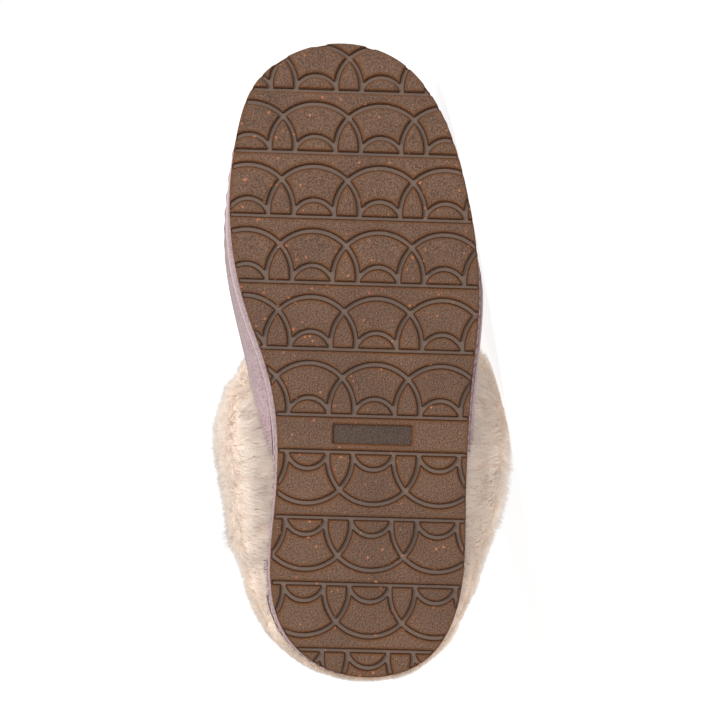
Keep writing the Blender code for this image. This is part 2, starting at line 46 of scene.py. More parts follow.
CAMERA_DISTANCE = 1.5
CAMERA_TILT = math.radians(3.0)
CAMERA_ROLL = 0.028
FRAME_WIDTH = 0.3017
SENSOR_WIDTH = 36.0
CAMERA_REACH = 200.0
FLOOR_SIZE = 60.0
FLOOR_GREY = (0.30, 0.30, 0.30, 1)
FLOOR_NEAR, FLOOR_FAR = 0.15, 2.5
GLOW_NEAR, GLOW_FAR = 0.83, 0.95
KEY_PLACE = (0.75, -1.35, 1.25)
KEY_SIZE = 0.8
KEY_POWER = 36.0
FILL_PLACE = (-0.9, -1.6, 0.5)
FILL_SIZE = 1.4
FILL_POWER = 4.0
LAMP_AIM = (0.0, 0.0, 0.05)
ROOM_LIGHT = 0.50
WHITE = (1, 1, 1, 1)


def laid_way(ways):
    """Directions of the shoe's own frame (x heel to toe, y outer side, z up) as the shoe lies."""
    x, y, z = np.moveaxis(np.asarray(ways, float), -1, 0)
    sine, cosine = math.sin(LEAN), math.cos(LEAN)
    return np.stack([x * cosine - y * sine, z, -x * sine - y * cosine], axis=-1)


def laid(points):
    """Points of the shoe's own frame where they lie in the room."""
    return laid_way(points) + SHOE_PLACE


def add_node(tree, kind, sockets=None, **settings):
    """Adds a shader node with its sockets' values and its settings."""
    node = tree.nodes.new(kind)
    for name, value in settings.items():
        setattr(node, name, value)
    for name, value in (sockets or {}).items():
        node.inputs[name].default_value = value
    return node


def remap(tree, value, low, high, to_low=0.0, to_high=1.0):
    """Stretches a value from one range to another, clamped."""
    node = add_node(
        tree,
        "ShaderNodeMapRange",
        {"From Min": low, "From Max": high, "To Min": to_low, "To Max": to_high},
    )
    tree.links.new(value, node.inputs["Value"])
    return node.outputs["Result"]


def look_from(thing, place, target):
    """Stands a lamp at a place and turns it to a target."""
    way = Vector(target) - Vector(place)
    thing.location = place
    thing.rotation_euler = way.to_track_quat("-Z", "Y").to_euler()


tilt_sine, tilt_cosine = math.sin(CAMERA_TILT), math.cos(CAMERA_TILT)
roll_sine, roll_cosine = math.sin(CAMERA_ROLL), math.cos(CAMERA_ROLL)
camera_back = np.array([0.0, -tilt_sine, -tilt_cosine])
level_right = np.array([0.0, tilt_cosine, -tilt_sine])
toe_way = np.array([1.0, 0.0, 0.0])
camera_right = roll_cosine * level_right + roll_sine * toe_way
camera_up = roll_cosine * toe_way - roll_sine * level_right
camera_axes = laid_way(np.stack([camera_right, camera_up, camera_back]))
camera = bpy.data.objects.new("camera", bpy.data.cameras.new("camera"))
bpy.context.scene.collection.objects.link(camera)
turn = Matrix([list(axis) for axis in camera_axes]).transposed().to_4x4()
stand = laid(np.array(CAMERA_AIM) + CAMERA_DISTANCE * camera_back)
camera.matrix_world = Matrix.Translation(stand) @ turn
camera.data.sensor_width = SENSOR_WIDTH
camera.data.lens = SENSOR_WIDTH * CAMERA_DISTANCE / FRAME_WIDTH
camera.data.clip_end = CAMERA_REACH
bpy.context.scene.camera = camera
bpy.context.scene.view_settings.view_transform = "Standard"

for lamp_name, place, size, power in (
    ("key_lamp", KEY_PLACE, KEY_SIZE, KEY_POWER),
    ("fill_lamp", FILL_PLACE, FILL_SIZE, FILL_POWER),
):
    lamp = bpy.data.lights.new(lamp_name, "AREA")
    lamp.shape = "DISK"
    lamp.size = size
    lamp.energy = power
    lamp_stand = bpy.data.objects.new(lamp_name, lamp)
    bpy.context.scene.collection.objects.link(lamp_stand)
    look_from(lamp_stand, place, LAMP_AIM)

world = bpy.data.worlds.new("soft_room")
world.use_nodes = True
tree = world.node_tree
tree.nodes.clear()
sky = add_node(tree, "ShaderNodeBackground", {"Color": WHITE, "Strength": 1.0})
dim_sky = add_node(tree, "ShaderNodeBackground", {"Color": WHITE, "Strength": ROOM_LIGHT})
seen = add_node(tree, "ShaderNodeLightPath")
either = add_node(tree, "ShaderNodeMixShader")
world_out = add_node(tree, "ShaderNodeOutputWorld")
tree.links.new(seen.outputs["Is Camera Ray"], either.inputs[0])
tree.links.new(dim_sky.outputs[0], either.inputs[1])
tree.links.new(sky.outputs[0], either.inputs[2])
tree.links.new(either.outputs[0], world_out.inputs[0])
bpy.context.scene.world = world

floor_mesh = bpy.data.meshes.new("floor")
half_floor = FLOOR_SIZE / 2
floor_ways = ((-1, -1), (1, -1), (1, 1), (-1, 1))
floor_corners = [(x * half_floor, y * half_floor, 0) for x, y in floor_ways]
floor_mesh.from_pydata(floor_corners, [], [(0, 1, 2, 3)])
floor = bpy.data.objects.new("floor", floor_mesh)
bpy.context.scene.collection.objects.link(floor)
floor_paint = bpy.data.materials.new("pale_floor")
floor_paint.use_nodes = True
tree = floor_paint.node_tree
shader = tree.nodes["Principled BSDF"]
shader.inputs["Base Color"].default_value = FLOOR_GREY
shader.inputs["Roughness"].default_value = 0.9
shader.inputs["Specular IOR Level"].default_value = 0.1
place = add_node(tree, "ShaderNodeTexCoord")
away = add_node(tree, "ShaderNodeVectorMath", operation="LENGTH")
tree.links.new(place.outputs["Object"], away.inputs[0])
fade = remap(tree, away.outputs["Value"], FLOOR_NEAR, FLOOR_FAR, GLOW_NEAR, GLOW_FAR)
tree.links.new(fade, shader.inputs["Emission Strength"])
shader.inputs["Emission Color"].default_value = WHITE
floor_mesh.materials.append(floor_paint)

# The outsole: one moulding of gum rubber, sprung at the toe, with a pattern of scales pressed into
# its tread. It is built flat from the grooves' own edges, then thinned to the wedge and bent.
SOLE_LENGTH = 0.265
BALL_WIDTH = 0.103
HEEL_THICKNESS = 0.010
FOREFOOT_THICKNESS = 0.007
SPRING_START = 0.645 * SOLE_LENGTH
SPRING_RADIUS = 0.230
WEDGE_BACK = 0.28 * SOLE_LENGTH
WEDGE_FRONT = 0.49 * SOLE_LENGTH
GAP = 0.0003
SOLE_STATIONS = (
    # station, outer, inner, outer swell, inner swell, as shares of the length and the ball's width
    (0.030, 0.250, -0.240, 0.004, 0.004),
    (0.080, 0.343, -0.348, 0.010, 0.010),
    (0.150, 0.389, -0.392, 0.015, 0.020),
    (0.270, 0.396, -0.382, 0.015, 0.032),
    (0.380, 0.397, -0.381, 0.015, 0.058),
    (0.480, 0.409, -0.429, 0.014, 0.048),
    (0.580, 0.427, -0.525, 0.012, 0.022),
    (0.680, 0.412, -0.587, 0.012, 0.008),
    (0.770, 0.370, -0.601, 0.014, 0.004),
    (0.864, 0.300, -0.575, 0.016, 0.002),
    (0.937, 0.203, -0.511, 0.016, 0.002),
    (0.984, 0.083, -0.384, 0.012, 0.002),
)
HEEL_TIP = (0.000, -0.002)
TOE_TIP = (1.010, -0.146)
SPLINE_STEPS = 40
OUTLINE_PLACES = 1440
WAIST_LINE = 0.0942
WAIST_BAND = 0.0153
ROW_PITCH = 0.0277
COLUMN_PITCH = 0.0277
COLUMN_SHIFT = 0.0012
HEEL_ROWS = 4
FOREFOOT_ROWS = 6
COLUMNS = range(-3, 3)
SCALE_RADIUS = 0.0191
SCALE_INSET = 0.0026
BUD_RADIUS = 0.0089
BUD_INSET = -0.0017
GROOVE_DEPTH = 0.0017
SCALE_GROOVE = 0.0026
LINE_GROOVE = 0.0022
GROOVE_DRAFT = 0.0006
LUG_ROUNDING = 0.00042
EDGE_TINT = 0.0013
PLATE_LENGTH = 0.0337
PLATE_WIDTH = 0.0086
PLATE_CORNER = 0.0010
PLATE_DEPTH = 0.0012
PLATE_MIDDLE = np.array([WAIST_LINE + WAIST_BAND / 2, COLUMN_SHIFT / 2])
PLATE_STRAIGHT = np.array([PLATE_WIDTH, PLATE_LENGTH]) / 2 - PLATE_CORNER
TREAD_CHAMFER = 0.0008
SOLE_STEP = 0.0006
STEP_HEIGHT = 0.62
SOLE_SHELF = 0.006
CHAMFER_TINT = 0.002
SIDE_TINT = 0.35
SIDE_CREASE = 38
LUG_GRID = 0.0024
LINE_STEP = 0.003
SCALE_STEP = 0.0014
BUD_STEP = 0.0010
CORNER_POINTS = 24
RIM_OVERRUN = 0.0016
TREAD_FRONT = 0.274
LINE_ENDS = (-0.066, 0.050)
GRID_ENDS = (-0.064, 0.048)
MILLIMETRES = 1000
JOIN_WITHIN = 0.0005
RUBBER_BROWN = (0.113, 0.060, 0.036, 1)
RUBBER_FLOOR = (0.130, 0.094, 0.076, 1)
# Darker, redder edge colour: painted shade at the lips of the grooves, partly the gum rubber's own
# redder tone at its thin edges.
RUBBER_EDGE_SHADE_AND_TONE = (0.118, 0.044, 0.012, 1)
# Painted shade down the grooves' walls, partly the rubber's own deeper red.
RUBBER_WALL_SHADE_AND_TONE = (0.060, 0.019, 0.005, 1)
RUBBER_PLATE = (0.046, 0.038, 0.033, 1)
RUBBER_FLECK = (0.430, 0.150, 0.070, 1)
RUBBER_ROUGHNESS = 0.55
RUBBER_SHINE = 0.24
RUBBER_PATCH = 38.0
RUBBER_GRAIN = 1500.0
FLECK_SCALE = 460.0
FLECK_STRAY = 0.0011
PEBBLE_HEIGHT = 0.00055
PEBBLE_CELLS = 0.7
PEBBLE_STRENGTH = 0.9
LIP_ROUNDING = 0.7 * LUG_ROUNDING
EDGE_TINTS = (0, 0.80, 1, 0.25)
RIM_TINTS = (1, 0.6, 0)
# Ranges: a mask or a noise from its low to its high gives from the third to the fourth value.
FLECK_CHOICE = (0.88, 0.985, 0.0, 0.8)
FLECK_SIZE = (0.0, 1.0, 0.14, 0.34)
FLECK_OFF_PLATE = (0.0, 0.1, 1.0, 0.0)
LUG_TOP = (0.75, 0.9, 1.0, 0.0)
PATCH_SHADE = (0.3, 0.7, 0.84, 1.14)
EDGE_PATCHES = (0.35, 0.6, 0.45, 0.95)
PEBBLE_SHADE_AND_HIGHLIGHT = (0.34, 0.66, 0.56, 1.48)
WALL_TOP = (0.10, 0.35, 0.0, 1.0)
WALL_FOOT = (0.80, 1.0, 0.85, 0.0)
WALL_OFF_PLATE = (0.4, 0.9, 1.0, 0.0)
PEBBLES_BELOW = (0.0, 1.0, 0.12, 1.0)
ROUGHNESS_GRAIN = (0.3, 0.7, 0.46, 0.66)


def closed_spline(points, count):
    """Points evenly spaced along the smooth closed curve through the given points."""
    points = np.asarray(points, float)
    chord = np.linalg.norm(np.roll(points, -1, axis=0) - points, axis=1)
    size = len(points)
    system = np.zeros((size, size))
    target = np.zeros((size, 2))
    for i in range(size):
        before, after = chord[i - 1], chord[i]
        system[i, i - 1] += after
        system[i, i] += 2 * (before + after)
        system[i, (i + 1) % size] += before
        rise_before = (points[i] - points[i - 1]) / before
        rise_after = (points[(i + 1) % size] - points[i]) / after
        target[i] = 3 * (after * rise_before + before * rise_after)
    slope = np.linalg.solve(system, target)
    dense = []
    share = np.linspace(0, 1, SPLINE_STEPS, endpoint=False)[:, None]
    for i in range(size):
        start, end = points[i], points[(i + 1) % size]
        out, into = slope[i] * chord[i], slope[(i + 1) % size] * chord[i]
        dense.append(
            start * (1 + 2 * share) * (1 - share) ** 2
            + end * share**2 * (3 - 2 * share)
            + out * share * (1 - share) ** 2
            - into * share**2 * (1 - share)
        )
    dense = np.concatenate(dense)
    dense = np.vstack([dense, dense[:1]])
    run = np.concatenate([[0], np.cumsum(np.linalg.norm(np.diff(dense, axis=0), axis=1))])
    wanted = np.linspace(0, run[-1], count, endpoint=False)
    return np.stack([np.interp(wanted, run, dense[:, k]) for k in (0, 1)], axis=1)


def smooth(table, column, where):
    """A table's column read smoothly between its rows; the first column holds the stations."""
    stations = np.array([row[0] for row in table])
    values = np.array([row[column] for row in table])
    slopes = np.gradient(values, stations)
    where = np.clip(where, stations[0], stations[-1])
    cell = np.clip(np.searchsorted(stations, where) - 1, 0, len(stations) - 2)
    width = stations[cell + 1] - stations[cell]
    share = (where - stations[cell]) / width
    return (
        values[cell] * (1 + 2 * share) * (1 - share) ** 2
        + values[cell + 1] * share**2 * (3 - 2 * share)
        + slopes[cell] * width * share * (1 - share) ** 2
        - slopes[cell + 1] * width * share**2 * (1 - share)
    )


def sprung(points):
    """Lifts the toe: the flat shoe beyond the spring's start is rolled up on an arc."""
    points = np.array(points, float)
    turned = np.clip((points[..., 0] - SPRING_START) / SPRING_RADIUS, 0, None)
    inner = SPRING_RADIUS - points[..., 2]
    points[..., 0] = np.where(turned > 0, SPRING_START + inner * np.sin(turned), points[..., 0])
    points[..., 2] = np.where(turned > 0, SPRING_RADIUS - inner * np.cos(turned), points[..., 2])
    return points


def sole_top(x):
    """Thickness of the sole at x along the flat tread: a low wedge under the heel."""
    share = np.clip((x - WEDGE_BACK) / (WEDGE_FRONT - WEDGE_BACK), 0, 1)
    return HEEL_THICKNESS + (FOREFOOT_THICKNESS - HEEL_THICKNESS) * share


shares = np.array(
    [HEEL_TIP]
    + [row[:2] for row in SOLE_STATIONS]
    + [TOE_TIP]
    + [(row[0], row[2]) for row in reversed(SOLE_STATIONS)]
)
stations = shares[:, 0] * SOLE_LENGTH
past = np.clip((stations - SPRING_START) / SPRING_RADIUS, 0, 0.99)
rolled = SPRING_START + SPRING_RADIUS * np.arcsin(past)
stations = np.where(stations > SPRING_START, rolled, stations)
outline_rows = np.stack([stations, shares[:, 1] * BALL_WIDTH], axis=1)
OUTLINE = closed_spline(outline_rows, OUTLINE_PLACES)
OUTLINE_TURNS = np.arange(len(OUTLINE) + 1) / len(OUTLINE)
OUTLINE_SLOPES = np.roll(OUTLINE, -1, axis=0) - np.roll(OUTLINE, 1, axis=0)
OUTLINE_SLOPES /= np.linalg.norm(OUTLINE_SLOPES, axis=1)[:, None]
OUTLINE_NORMALS = np.stack([-OUTLINE_SLOPES[:, 1], OUTLINE_SLOPES[:, 0]], axis=1)
outwards = (OUTLINE_NORMALS * (OUTLINE - OUTLINE.mean(axis=0))).sum(axis=1)
OUTLINE_NORMALS *= np.sign(outwards)[:, None]
TOE_TURN = OUTLINE_TURNS[int(OUTLINE[:, 0].argmax())]


def around(values, turn):
    """Values on the outline read at shares of a full turn."""
    wrapped = np.concatenate([values, values[:1]])
    turn = np.mod(turn, 1.0)
    return np.stack([np.interp(turn, OUTLINE_TURNS, wrapped[:, k]) for k in (0, 1)], axis=-1)


outline_tree = kdtree.KDTree(len(OUTLINE))
for number, spot in enumerate(OUTLINE):
    outline_tree.insert((*spot, 0), number)
outline_tree.balance()


def inside_by(plan):
    """How far inside the sole's outline each point lies, with the nearest place's number."""
    numbers = np.empty(len(plan), int)
    for i, spot in enumerate(plan):
        numbers[i] = outline_tree.find((*spot, 0))[1]
    depths = -((plan - OUTLINE[numbers]) * OUTLINE_NORMALS[numbers]).sum(axis=1)
    return depths, numbers


def groove_reach(plan):
    """How far inside the nearest groove's mouth each point of the flat tread lies."""
    x, y = plan[:, 0], plan[:, 1]
    front = WAIST_LINE + WAIST_BAND
    in_band = (x > WAIST_LINE) & (x < front)
    run = np.mod(np.where(x >= front, x - front, WAIST_LINE - x), ROW_PITCH)
    to_band = np.minimum(x - WAIST_LINE, front - x)
    to_line = np.where(in_band, to_band, np.minimum(run, ROW_PITCH - run))
    reach = LINE_GROOVE / 2 - to_line
    nearest = np.round((y - COLUMN_SHIFT) / COLUMN_PITCH)
    for neighbour in (-1, 0, 1):
        off = y - COLUMN_SHIFT - (nearest + neighbour) * COLUMN_PITCH
        for radius, inset in ((SCALE_RADIUS, SCALE_INSET), (BUD_RADIUS, BUD_INSET)):
            arc = SCALE_GROOVE / 2 - np.abs(np.hypot(run - inset, off) - radius)
            reach = np.maximum(reach, np.where(in_band, -1.0, arc))
    return reach


def plate_reach(plan):
    """How far inside the edge of the plate's recess each point lies."""
    off = np.abs(plan - PLATE_MIDDLE) - PLATE_STRAIGHT
    beyond = np.linalg.norm(np.clip(off, 0, None), axis=1)
    return PLATE_CORNER - beyond - np.minimum(off.max(axis=1), 0)


def tread_paths():
    """Lines along which the tread's mesh is split: both sides of every groove, at each level."""
    levels = (-EDGE_TINT, -LUG_ROUNDING, 0.0, GROOVE_DRAFT)
    rows = [(WAIST_LINE - ROW_PITCH * k, -1) for k in range(HEEL_ROWS)]
    rows += [(WAIST_LINE + WAIST_BAND + ROW_PITCH * k, 1) for k in range(FOREFOOT_ROWS)]
    paths = []
    for base, facing in rows:
        for level in levels:
            for side in (-1, 1):
                x = base + side * (LINE_GROOVE / 2 - level)
                y = np.arange(*LINE_ENDS, LINE_STEP)
                paths.append(np.stack([np.full_like(y, x), y], axis=1))
                for column in COLUMNS:
                    middle = COLUMN_SHIFT + column * COLUMN_PITCH
                    for radius, inset, step in (
                        (SCALE_RADIUS, SCALE_INSET, SCALE_STEP),
                        (BUD_RADIUS, BUD_INSET, BUD_STEP),
                    ):
                        reach = radius + side * (SCALE_GROOVE / 2 - level)
                        dip = math.asin(inset / reach)
                        count = int(reach * (math.pi + 2 * dip) / step)
                        angle = np.linspace(-dip, math.pi + dip, count)
                        arc_x = base + facing * (inset + reach * np.sin(angle))
                        paths.append(np.stack([arc_x, middle + reach * np.cos(angle)], axis=1))
    angle = np.linspace(0, 2 * math.pi, CORNER_POINTS, endpoint=False)
    corner_way = np.stack([np.cos(angle), np.sin(angle)], axis=1)
    corners = PLATE_MIDDLE + PLATE_STRAIGHT * np.sign(np.round(corner_way, 6) + 1e-9)
    for level in levels:
        loop = corners + corner_way * (PLATE_CORNER - level)
        paths.append(np.vstack([loop, loop[:1]]))
    return paths


def tread_plan():
    """The flat tread split into triangles along its grooves and its rim."""
    spots = []
    lines = []
    for path in tread_paths():
        depth, _ = inside_by(path)
        kept = depth > -RIM_OVERRUN
        for i in range(len(path)):
            if kept[i]:
                if i and kept[i - 1]:
                    lines.append((len(spots) - 1, len(spots)))
                spots.append(path[i])
    for inset in (0.0, TREAD_CHAMFER):
        loop = (OUTLINE - OUTLINE_NORMALS * inset)[::2]
        first = len(spots)
        spots += list(loop)
        lines += [(first + i, first + (i + 1) % len(loop)) for i in range(len(loop))]
    along_tread = np.arange(0, TREAD_FRONT, LUG_GRID)
    grid_x, grid_y = np.meshgrid(along_tread, np.arange(*GRID_ENDS, LUG_GRID))
    grid = np.stack([grid_x.ravel(), grid_y.ravel()], axis=1)
    margin = LUG_GRID / 4
    on_lug = np.maximum(groove_reach(grid), plate_reach(grid)) < -EDGE_TINT - margin
    grid = grid[on_lug & (inside_by(grid)[0] > TREAD_CHAMFER + margin)]
    spots += list(grid)
    fine = [Vector(spot * MILLIMETRES) for spot in spots]
    found = geometry.delaunay_2d_cdt(fine, lines, [], 0, JOIN_WITHIN)
    plan = np.array([spot[:] for spot in found[0]]) / MILLIMETRES
    faces = np.array([face for face in found[2] if len(face) == 3])
    depth, _ = inside_by(plan[faces].mean(axis=1))
    return plan, faces[depth > 0]


def new_piece(name, points, faces, material, sharp=None):
    """Makes an object of equal-sized faces, smooth but for edges sharper than the given angle."""
    points = np.asarray(points, np.float32)
    faces = np.asarray(faces, np.int32)
    mesh = bpy.data.meshes.new(name)
    mesh.vertices.add(len(points))
    mesh.vertices.foreach_set("co", points.ravel())
    mesh.loops.add(faces.size)
    mesh.loops.foreach_set("vertex_index", faces.ravel())
    mesh.polygons.add(len(faces))
    starts = np.arange(0, faces.size, faces.shape[1], dtype=np.int32)
    mesh.polygons.foreach_set("loop_start", starts)
    mesh.update(calc_edges=True)
    mesh.validate()
    mesh.shade_smooth()
    if sharp:
        mesh.set_sharp_from_angle(angle=math.radians(sharp))
    mesh.materials.append(material)
    made = bpy.data.objects.new(name, mesh)
    bpy.context.scene.collection.objects.link(made)
    return made


def give_values(piece, name, values):
    """Keeps one number for each vertex, which the piece's material reads by name."""
    layer = piece.data.attributes.new(name, "FLOAT", "POINT")
    layer.data.foreach_set("value", np.asarray(values, np.float32))


def make_effect(name, inputs, outputs):
    """Starts a shader node group with named number inputs and outputs."""
    group = bpy.data.node_groups.new(name, "ShaderNodeTree")
    for label, value in inputs:
        socket = group.interface.new_socket(label, in_out="INPUT", socket_type="NodeSocketFloat")
        socket.default_value = value
    for label in outputs:
        group.interface.new_socket(label, in_out="OUTPUT", socket_type="NodeSocketFloat")
    return group, group.nodes.new("NodeGroupInput"), group.nodes.new("NodeGroupOutput")


# Tone and grain that the rubber, the suede, the thread and the fleece share
surface_grain, grain_in, grain_out = make_effect(
    "surface_grain",
    (("Patch Scale", 60.0), ("Grain Scale", 900.0), ("Grain Detail", 3.0)),
    ("Patches", "Grain", "Cells"),
)
where = add_node(surface_grain, "ShaderNodeTexCoord")
patches = add_node(surface_grain, "ShaderNodeTexNoise", {"Detail": 3.0, "Roughness": 0.55})
grain = add_node(surface_grain, "ShaderNodeTexNoise", {"Roughness": 0.6})
cells = add_node(surface_grain, "ShaderNodeTexVoronoi", feature="F1")
for texture, scale in ((patches, "Patch Scale"), (grain, "Grain Scale"), (cells, "Grain Scale")):
    surface_grain.links.new(where.outputs["Object"], texture.inputs["Vector"])
    surface_grain.links.new(grain_in.outputs[scale], texture.inputs["Scale"])
surface_grain.links.new(grain_in.outputs["Grain Detail"], grain.inputs["Detail"])
surface_grain.links.new(patches.outputs["Fac"], grain_out.inputs["Patches"])
surface_grain.links.new(grain.outputs["Fac"], grain_out.inputs["Grain"])
surface_grain.links.new(cells.outputs["Distance"], grain_out.inputs["Cells"])


def start_material(name, roughness, **grain_values):
    """A new material with its shader and the shared grain, ready to be joined up."""
    material = bpy.data.materials.new(name)
    material.use_nodes = True
    tree = material.node_tree
    shader = tree.nodes["Principled BSDF"]
    shader.inputs["Roughness"].default_value = roughness
    grain = add_node(tree, "ShaderNodeGroup", node_tree=surface_grain)
    for label, value in grain_values.items():
        grain.inputs[label.replace("_", " ").title()].default_value = value
    return material, tree, shader, grain


def mix_colours(tree, share, first, second, blend="MIX"):
    """A colour mix; each colour is a fixed value or another node's output."""
    mix = add_node(tree, "ShaderNodeMix", data_type="RGBA", blend_type=blend)
    for number, value in ((0, share), (6, first), (7, second)):
        if isinstance(value, (tuple, float)):
            mix.inputs[number].default_value = value
        else:
            tree.links.new(value, mix.inputs[number])
    return mix.outputs[2]


def kept_value(tree, name):
    """Reads the number that the piece's vertices keep under a name."""
    return add_node(tree, "ShaderNodeAttribute", attribute_name=name).outputs["Fac"]


def combine(tree, value, other, operation="MULTIPLY"):
    """Two values joined by a product, or by another plain operation."""
    node = add_node(tree, "ShaderNodeMath", operation=operation)
    tree.links.new(value, node.inputs[0])
    if isinstance(other, (int, float)):
        node.inputs[1].default_value = other
    else:
        tree.links.new(other, node.inputs[1])
    return node.outputs[0]


def raise_surface(tree, shader, height, strength, distance):
    """Feeds a height to the shader's normal through a bump."""
    bump = add_node(tree, "ShaderNodeBump", {"Strength": strength, "Distance": distance})
    tree.links.new(height, bump.inputs["Height"])
    tree.links.new(bump.outputs["Normal"], shader.inputs["Normal"])


gum_rubber, tree, shader, grain = start_material(
    "gum_rubber_tread",
    RUBBER_ROUGHNESS,
    patch_scale=RUBBER_PATCH,
    grain_scale=RUBBER_GRAIN,
    grain_detail=1.0,
)
edge = kept_value(tree, "edge")
depth = kept_value(tree, "depth")
plate_mark = kept_value(tree, "plate")
patches, fine_grain = grain.outputs["Patches"], grain.outputs["Grain"]
where = add_node(tree, "ShaderNodeTexCoord")
flecks = add_node(tree, "ShaderNodeTexVoronoi", {"Scale": FLECK_SCALE}, feature="F1")
ragged = add_node(tree, "ShaderNodeTexNoise", {"Scale": RUBBER_GRAIN, "Detail": 1.0})
astray = add_node(tree, "ShaderNodeVectorMath", {1: (FLECK_STRAY,) * 3}, operation="MULTIPLY")
torn = add_node(tree, "ShaderNodeVectorMath", operation="ADD")
tree.links.new(where.outputs["Object"], ragged.inputs["Vector"])
tree.links.new(ragged.outputs["Color"], astray.inputs[0])
tree.links.new(where.outputs["Object"], torn.inputs[0])
tree.links.new(astray.outputs[0], torn.inputs[1])
tree.links.new(torn.outputs[0], flecks.inputs["Vector"])
fleck_pick = add_node(tree, "ShaderNodeSeparateColor")
tree.links.new(flecks.outputs["Color"], fleck_pick.inputs[0])
chosen = remap(tree, fleck_pick.outputs["Red"], *FLECK_CHOICE)
fleck_size = remap(tree, fleck_pick.outputs["Green"], *FLECK_SIZE)
fleck_body = combine(tree, fleck_size, flecks.outputs["Distance"], "GREATER_THAN")
off_plate = remap(tree, plate_mark, *FLECK_OFF_PLATE)
fleck_mask = combine(tree, combine(tree, chosen, fleck_body), off_plate)
top_mask = remap(tree, depth, *LUG_TOP)
shade = remap(tree, patches, *PATCH_SHADE)
moulded = mix_colours(tree, depth, RUBBER_BROWN, RUBBER_FLOOR)
body_colour = mix_colours(tree, plate_mark, moulded, RUBBER_PLATE)
shaded = mix_colours(tree, 1.0, body_colour, shade, "MULTIPLY")
# Painted shade along the lips of the grooves and the sole's rim, partly the rubber's redder edges:
# a darker red-brown laid by the kept edge numbers.
edge_shade_share = combine(tree, edge, remap(tree, patches, *EDGE_PATCHES))
# Painted shade and highlight on the lug tops: lighter and darker with the same grain that raises
# the pebbles, partly the rubber's mottled tone.
stipple = remap(tree, fine_grain, *PEBBLE_SHADE_AND_HIGHLIGHT)
speckle = mix_colours(tree, 1.0, shaded, stipple, "MULTIPLY")
stippled = mix_colours(tree, top_mask, shaded, speckle)
edges_shaded = mix_colours(tree, edge_shade_share, stippled, RUBBER_EDGE_SHADE_AND_TONE)
# Painted shade in the grooves: a dark red-brown laid on their walls by depth and kept off the
# plate, partly the gum rubber's deeper red.
above_floor = remap(tree, depth, *WALL_FOOT)
wall_shade_share = combine(tree, remap(tree, depth, *WALL_TOP), above_floor)
wall_shade_share = combine(tree, wall_shade_share, remap(tree, plate_mark, *WALL_OFF_PLATE))
walls_shaded = mix_colours(tree, wall_shade_share, edges_shaded, RUBBER_WALL_SHADE_AND_TONE)
speckled = mix_colours(tree, fleck_mask, walls_shaded, RUBBER_FLECK)
tree.links.new(speckled, shader.inputs["Base Color"])
cells = combine(tree, grain.outputs["Cells"], PEBBLE_CELLS)
pebbles = combine(tree, fine_grain, cells, "ADD")
pebbles = combine(tree, pebbles, remap(tree, top_mask, *PEBBLES_BELOW))
raise_surface(tree, shader, pebbles, PEBBLE_STRENGTH, PEBBLE_HEIGHT)
tree.links.new(remap(tree, fine_grain, *ROUGHNESS_GRAIN), shader.inputs["Roughness"])
shader.inputs["Specular IOR Level"].default_value = RUBBER_SHINE

plan, tread_faces = tread_plan()
reach = groove_reach(plan)
plate = plate_reach(plan)
rim_depth, rim_number = inside_by(plan)
lip = [-LUG_ROUNDING, 0, GROOVE_DRAFT]
pressed = np.interp(reach, lip, [0, LIP_ROUNDING, GROOVE_DEPTH])
sunk = np.interp(plate, lip, [0, LIP_ROUNDING, PLATE_DEPTH])
turned_up = np.clip(TREAD_CHAMFER - rim_depth, 0, TREAD_CHAMFER)
height = np.maximum(np.maximum(pressed, sunk), turned_up)
# The edge numbers place that band of painted shade and redder tone at the grooves' lips, the rim's
# chamfer and the sole's sides.
edge_shade_value = np.interp(np.maximum(reach, plate), [-EDGE_TINT, *lip], EDGE_TINTS)
rim_tint = np.interp(rim_depth, [0, TREAD_CHAMFER, CHAMFER_TINT], RIM_TINTS)
edge_shade_value = np.maximum(edge_shade_value, rim_tint)
depth_value = np.clip(height / GROOVE_DEPTH, 0, 1) * (rim_depth > TREAD_CHAMFER / 2)
used, faces = np.unique(tread_faces, return_inverse=True)
faces = faces.reshape(-1, 3)
plan, height, rim_number = plan[used], height[used], rim_number[used]
edge_shade_value, depth_value = edge_shade_value[used], depth_value[used]
plate_value = np.interp(plate[used], [0, GROOVE_DRAFT], [0, 1])
sides = np.sort(faces[:, [0, 1, 1, 2, 2, 0]].reshape(-1, 2), axis=1)
single, count = np.unique(sides, axis=0, return_counts=True)
rim_lines = single[count == 1]
rim_points = np.unique(rim_lines)
place_of = np.full(len(plan), -1)
place_of[rim_points] = np.arange(len(rim_points))
layers = [np.concatenate([plan, height[:, None]], axis=1)]
wall_faces = []
below = rim_points
start = len(plan)
for grow, level in (
    (0.0, HEEL_THICKNESS * STEP_HEIGHT),
    (-SOLE_STEP, HEEL_THICKNESS * STEP_HEIGHT + SOLE_STEP),
    (-SOLE_STEP, HEEL_THICKNESS - GAP / 2),
    (-SOLE_SHELF, HEEL_THICKNESS - GAP / 2),
):
    ring = plan[rim_points] + OUTLINE_NORMALS[rim_number[rim_points]] * grow
    layers.append(np.concatenate([ring, np.full((len(ring), 1), level)], axis=1))
    above = start + np.arange(len(rim_points))
    low = below[place_of[rim_lines]]
    high = above[place_of[rim_lines]]
    wall_faces.append(np.stack([low[:, 0], low[:, 1], high[:, 1]], axis=1))
    wall_faces.append(np.stack([low[:, 0], high[:, 1], high[:, 0]], axis=1))
    below = above
    start += len(rim_points)
points = np.concatenate(layers)
over = np.clip(points[:, 2] - GROOVE_DEPTH, 0, None)
thinning = (sole_top(points[:, 0]) - GROOVE_DEPTH) / (HEEL_THICKNESS - GROOVE_DEPTH)
points[:, 2] = np.where(over > 0, GROOVE_DEPTH + over * thinning, points[:, 2])
side_count = len(points) - len(plan)
faces = np.concatenate([faces, *wall_faces])
outsole = new_piece("outsole_tread", laid(sprung(points)), faces, gum_rubber, SIDE_CREASE)
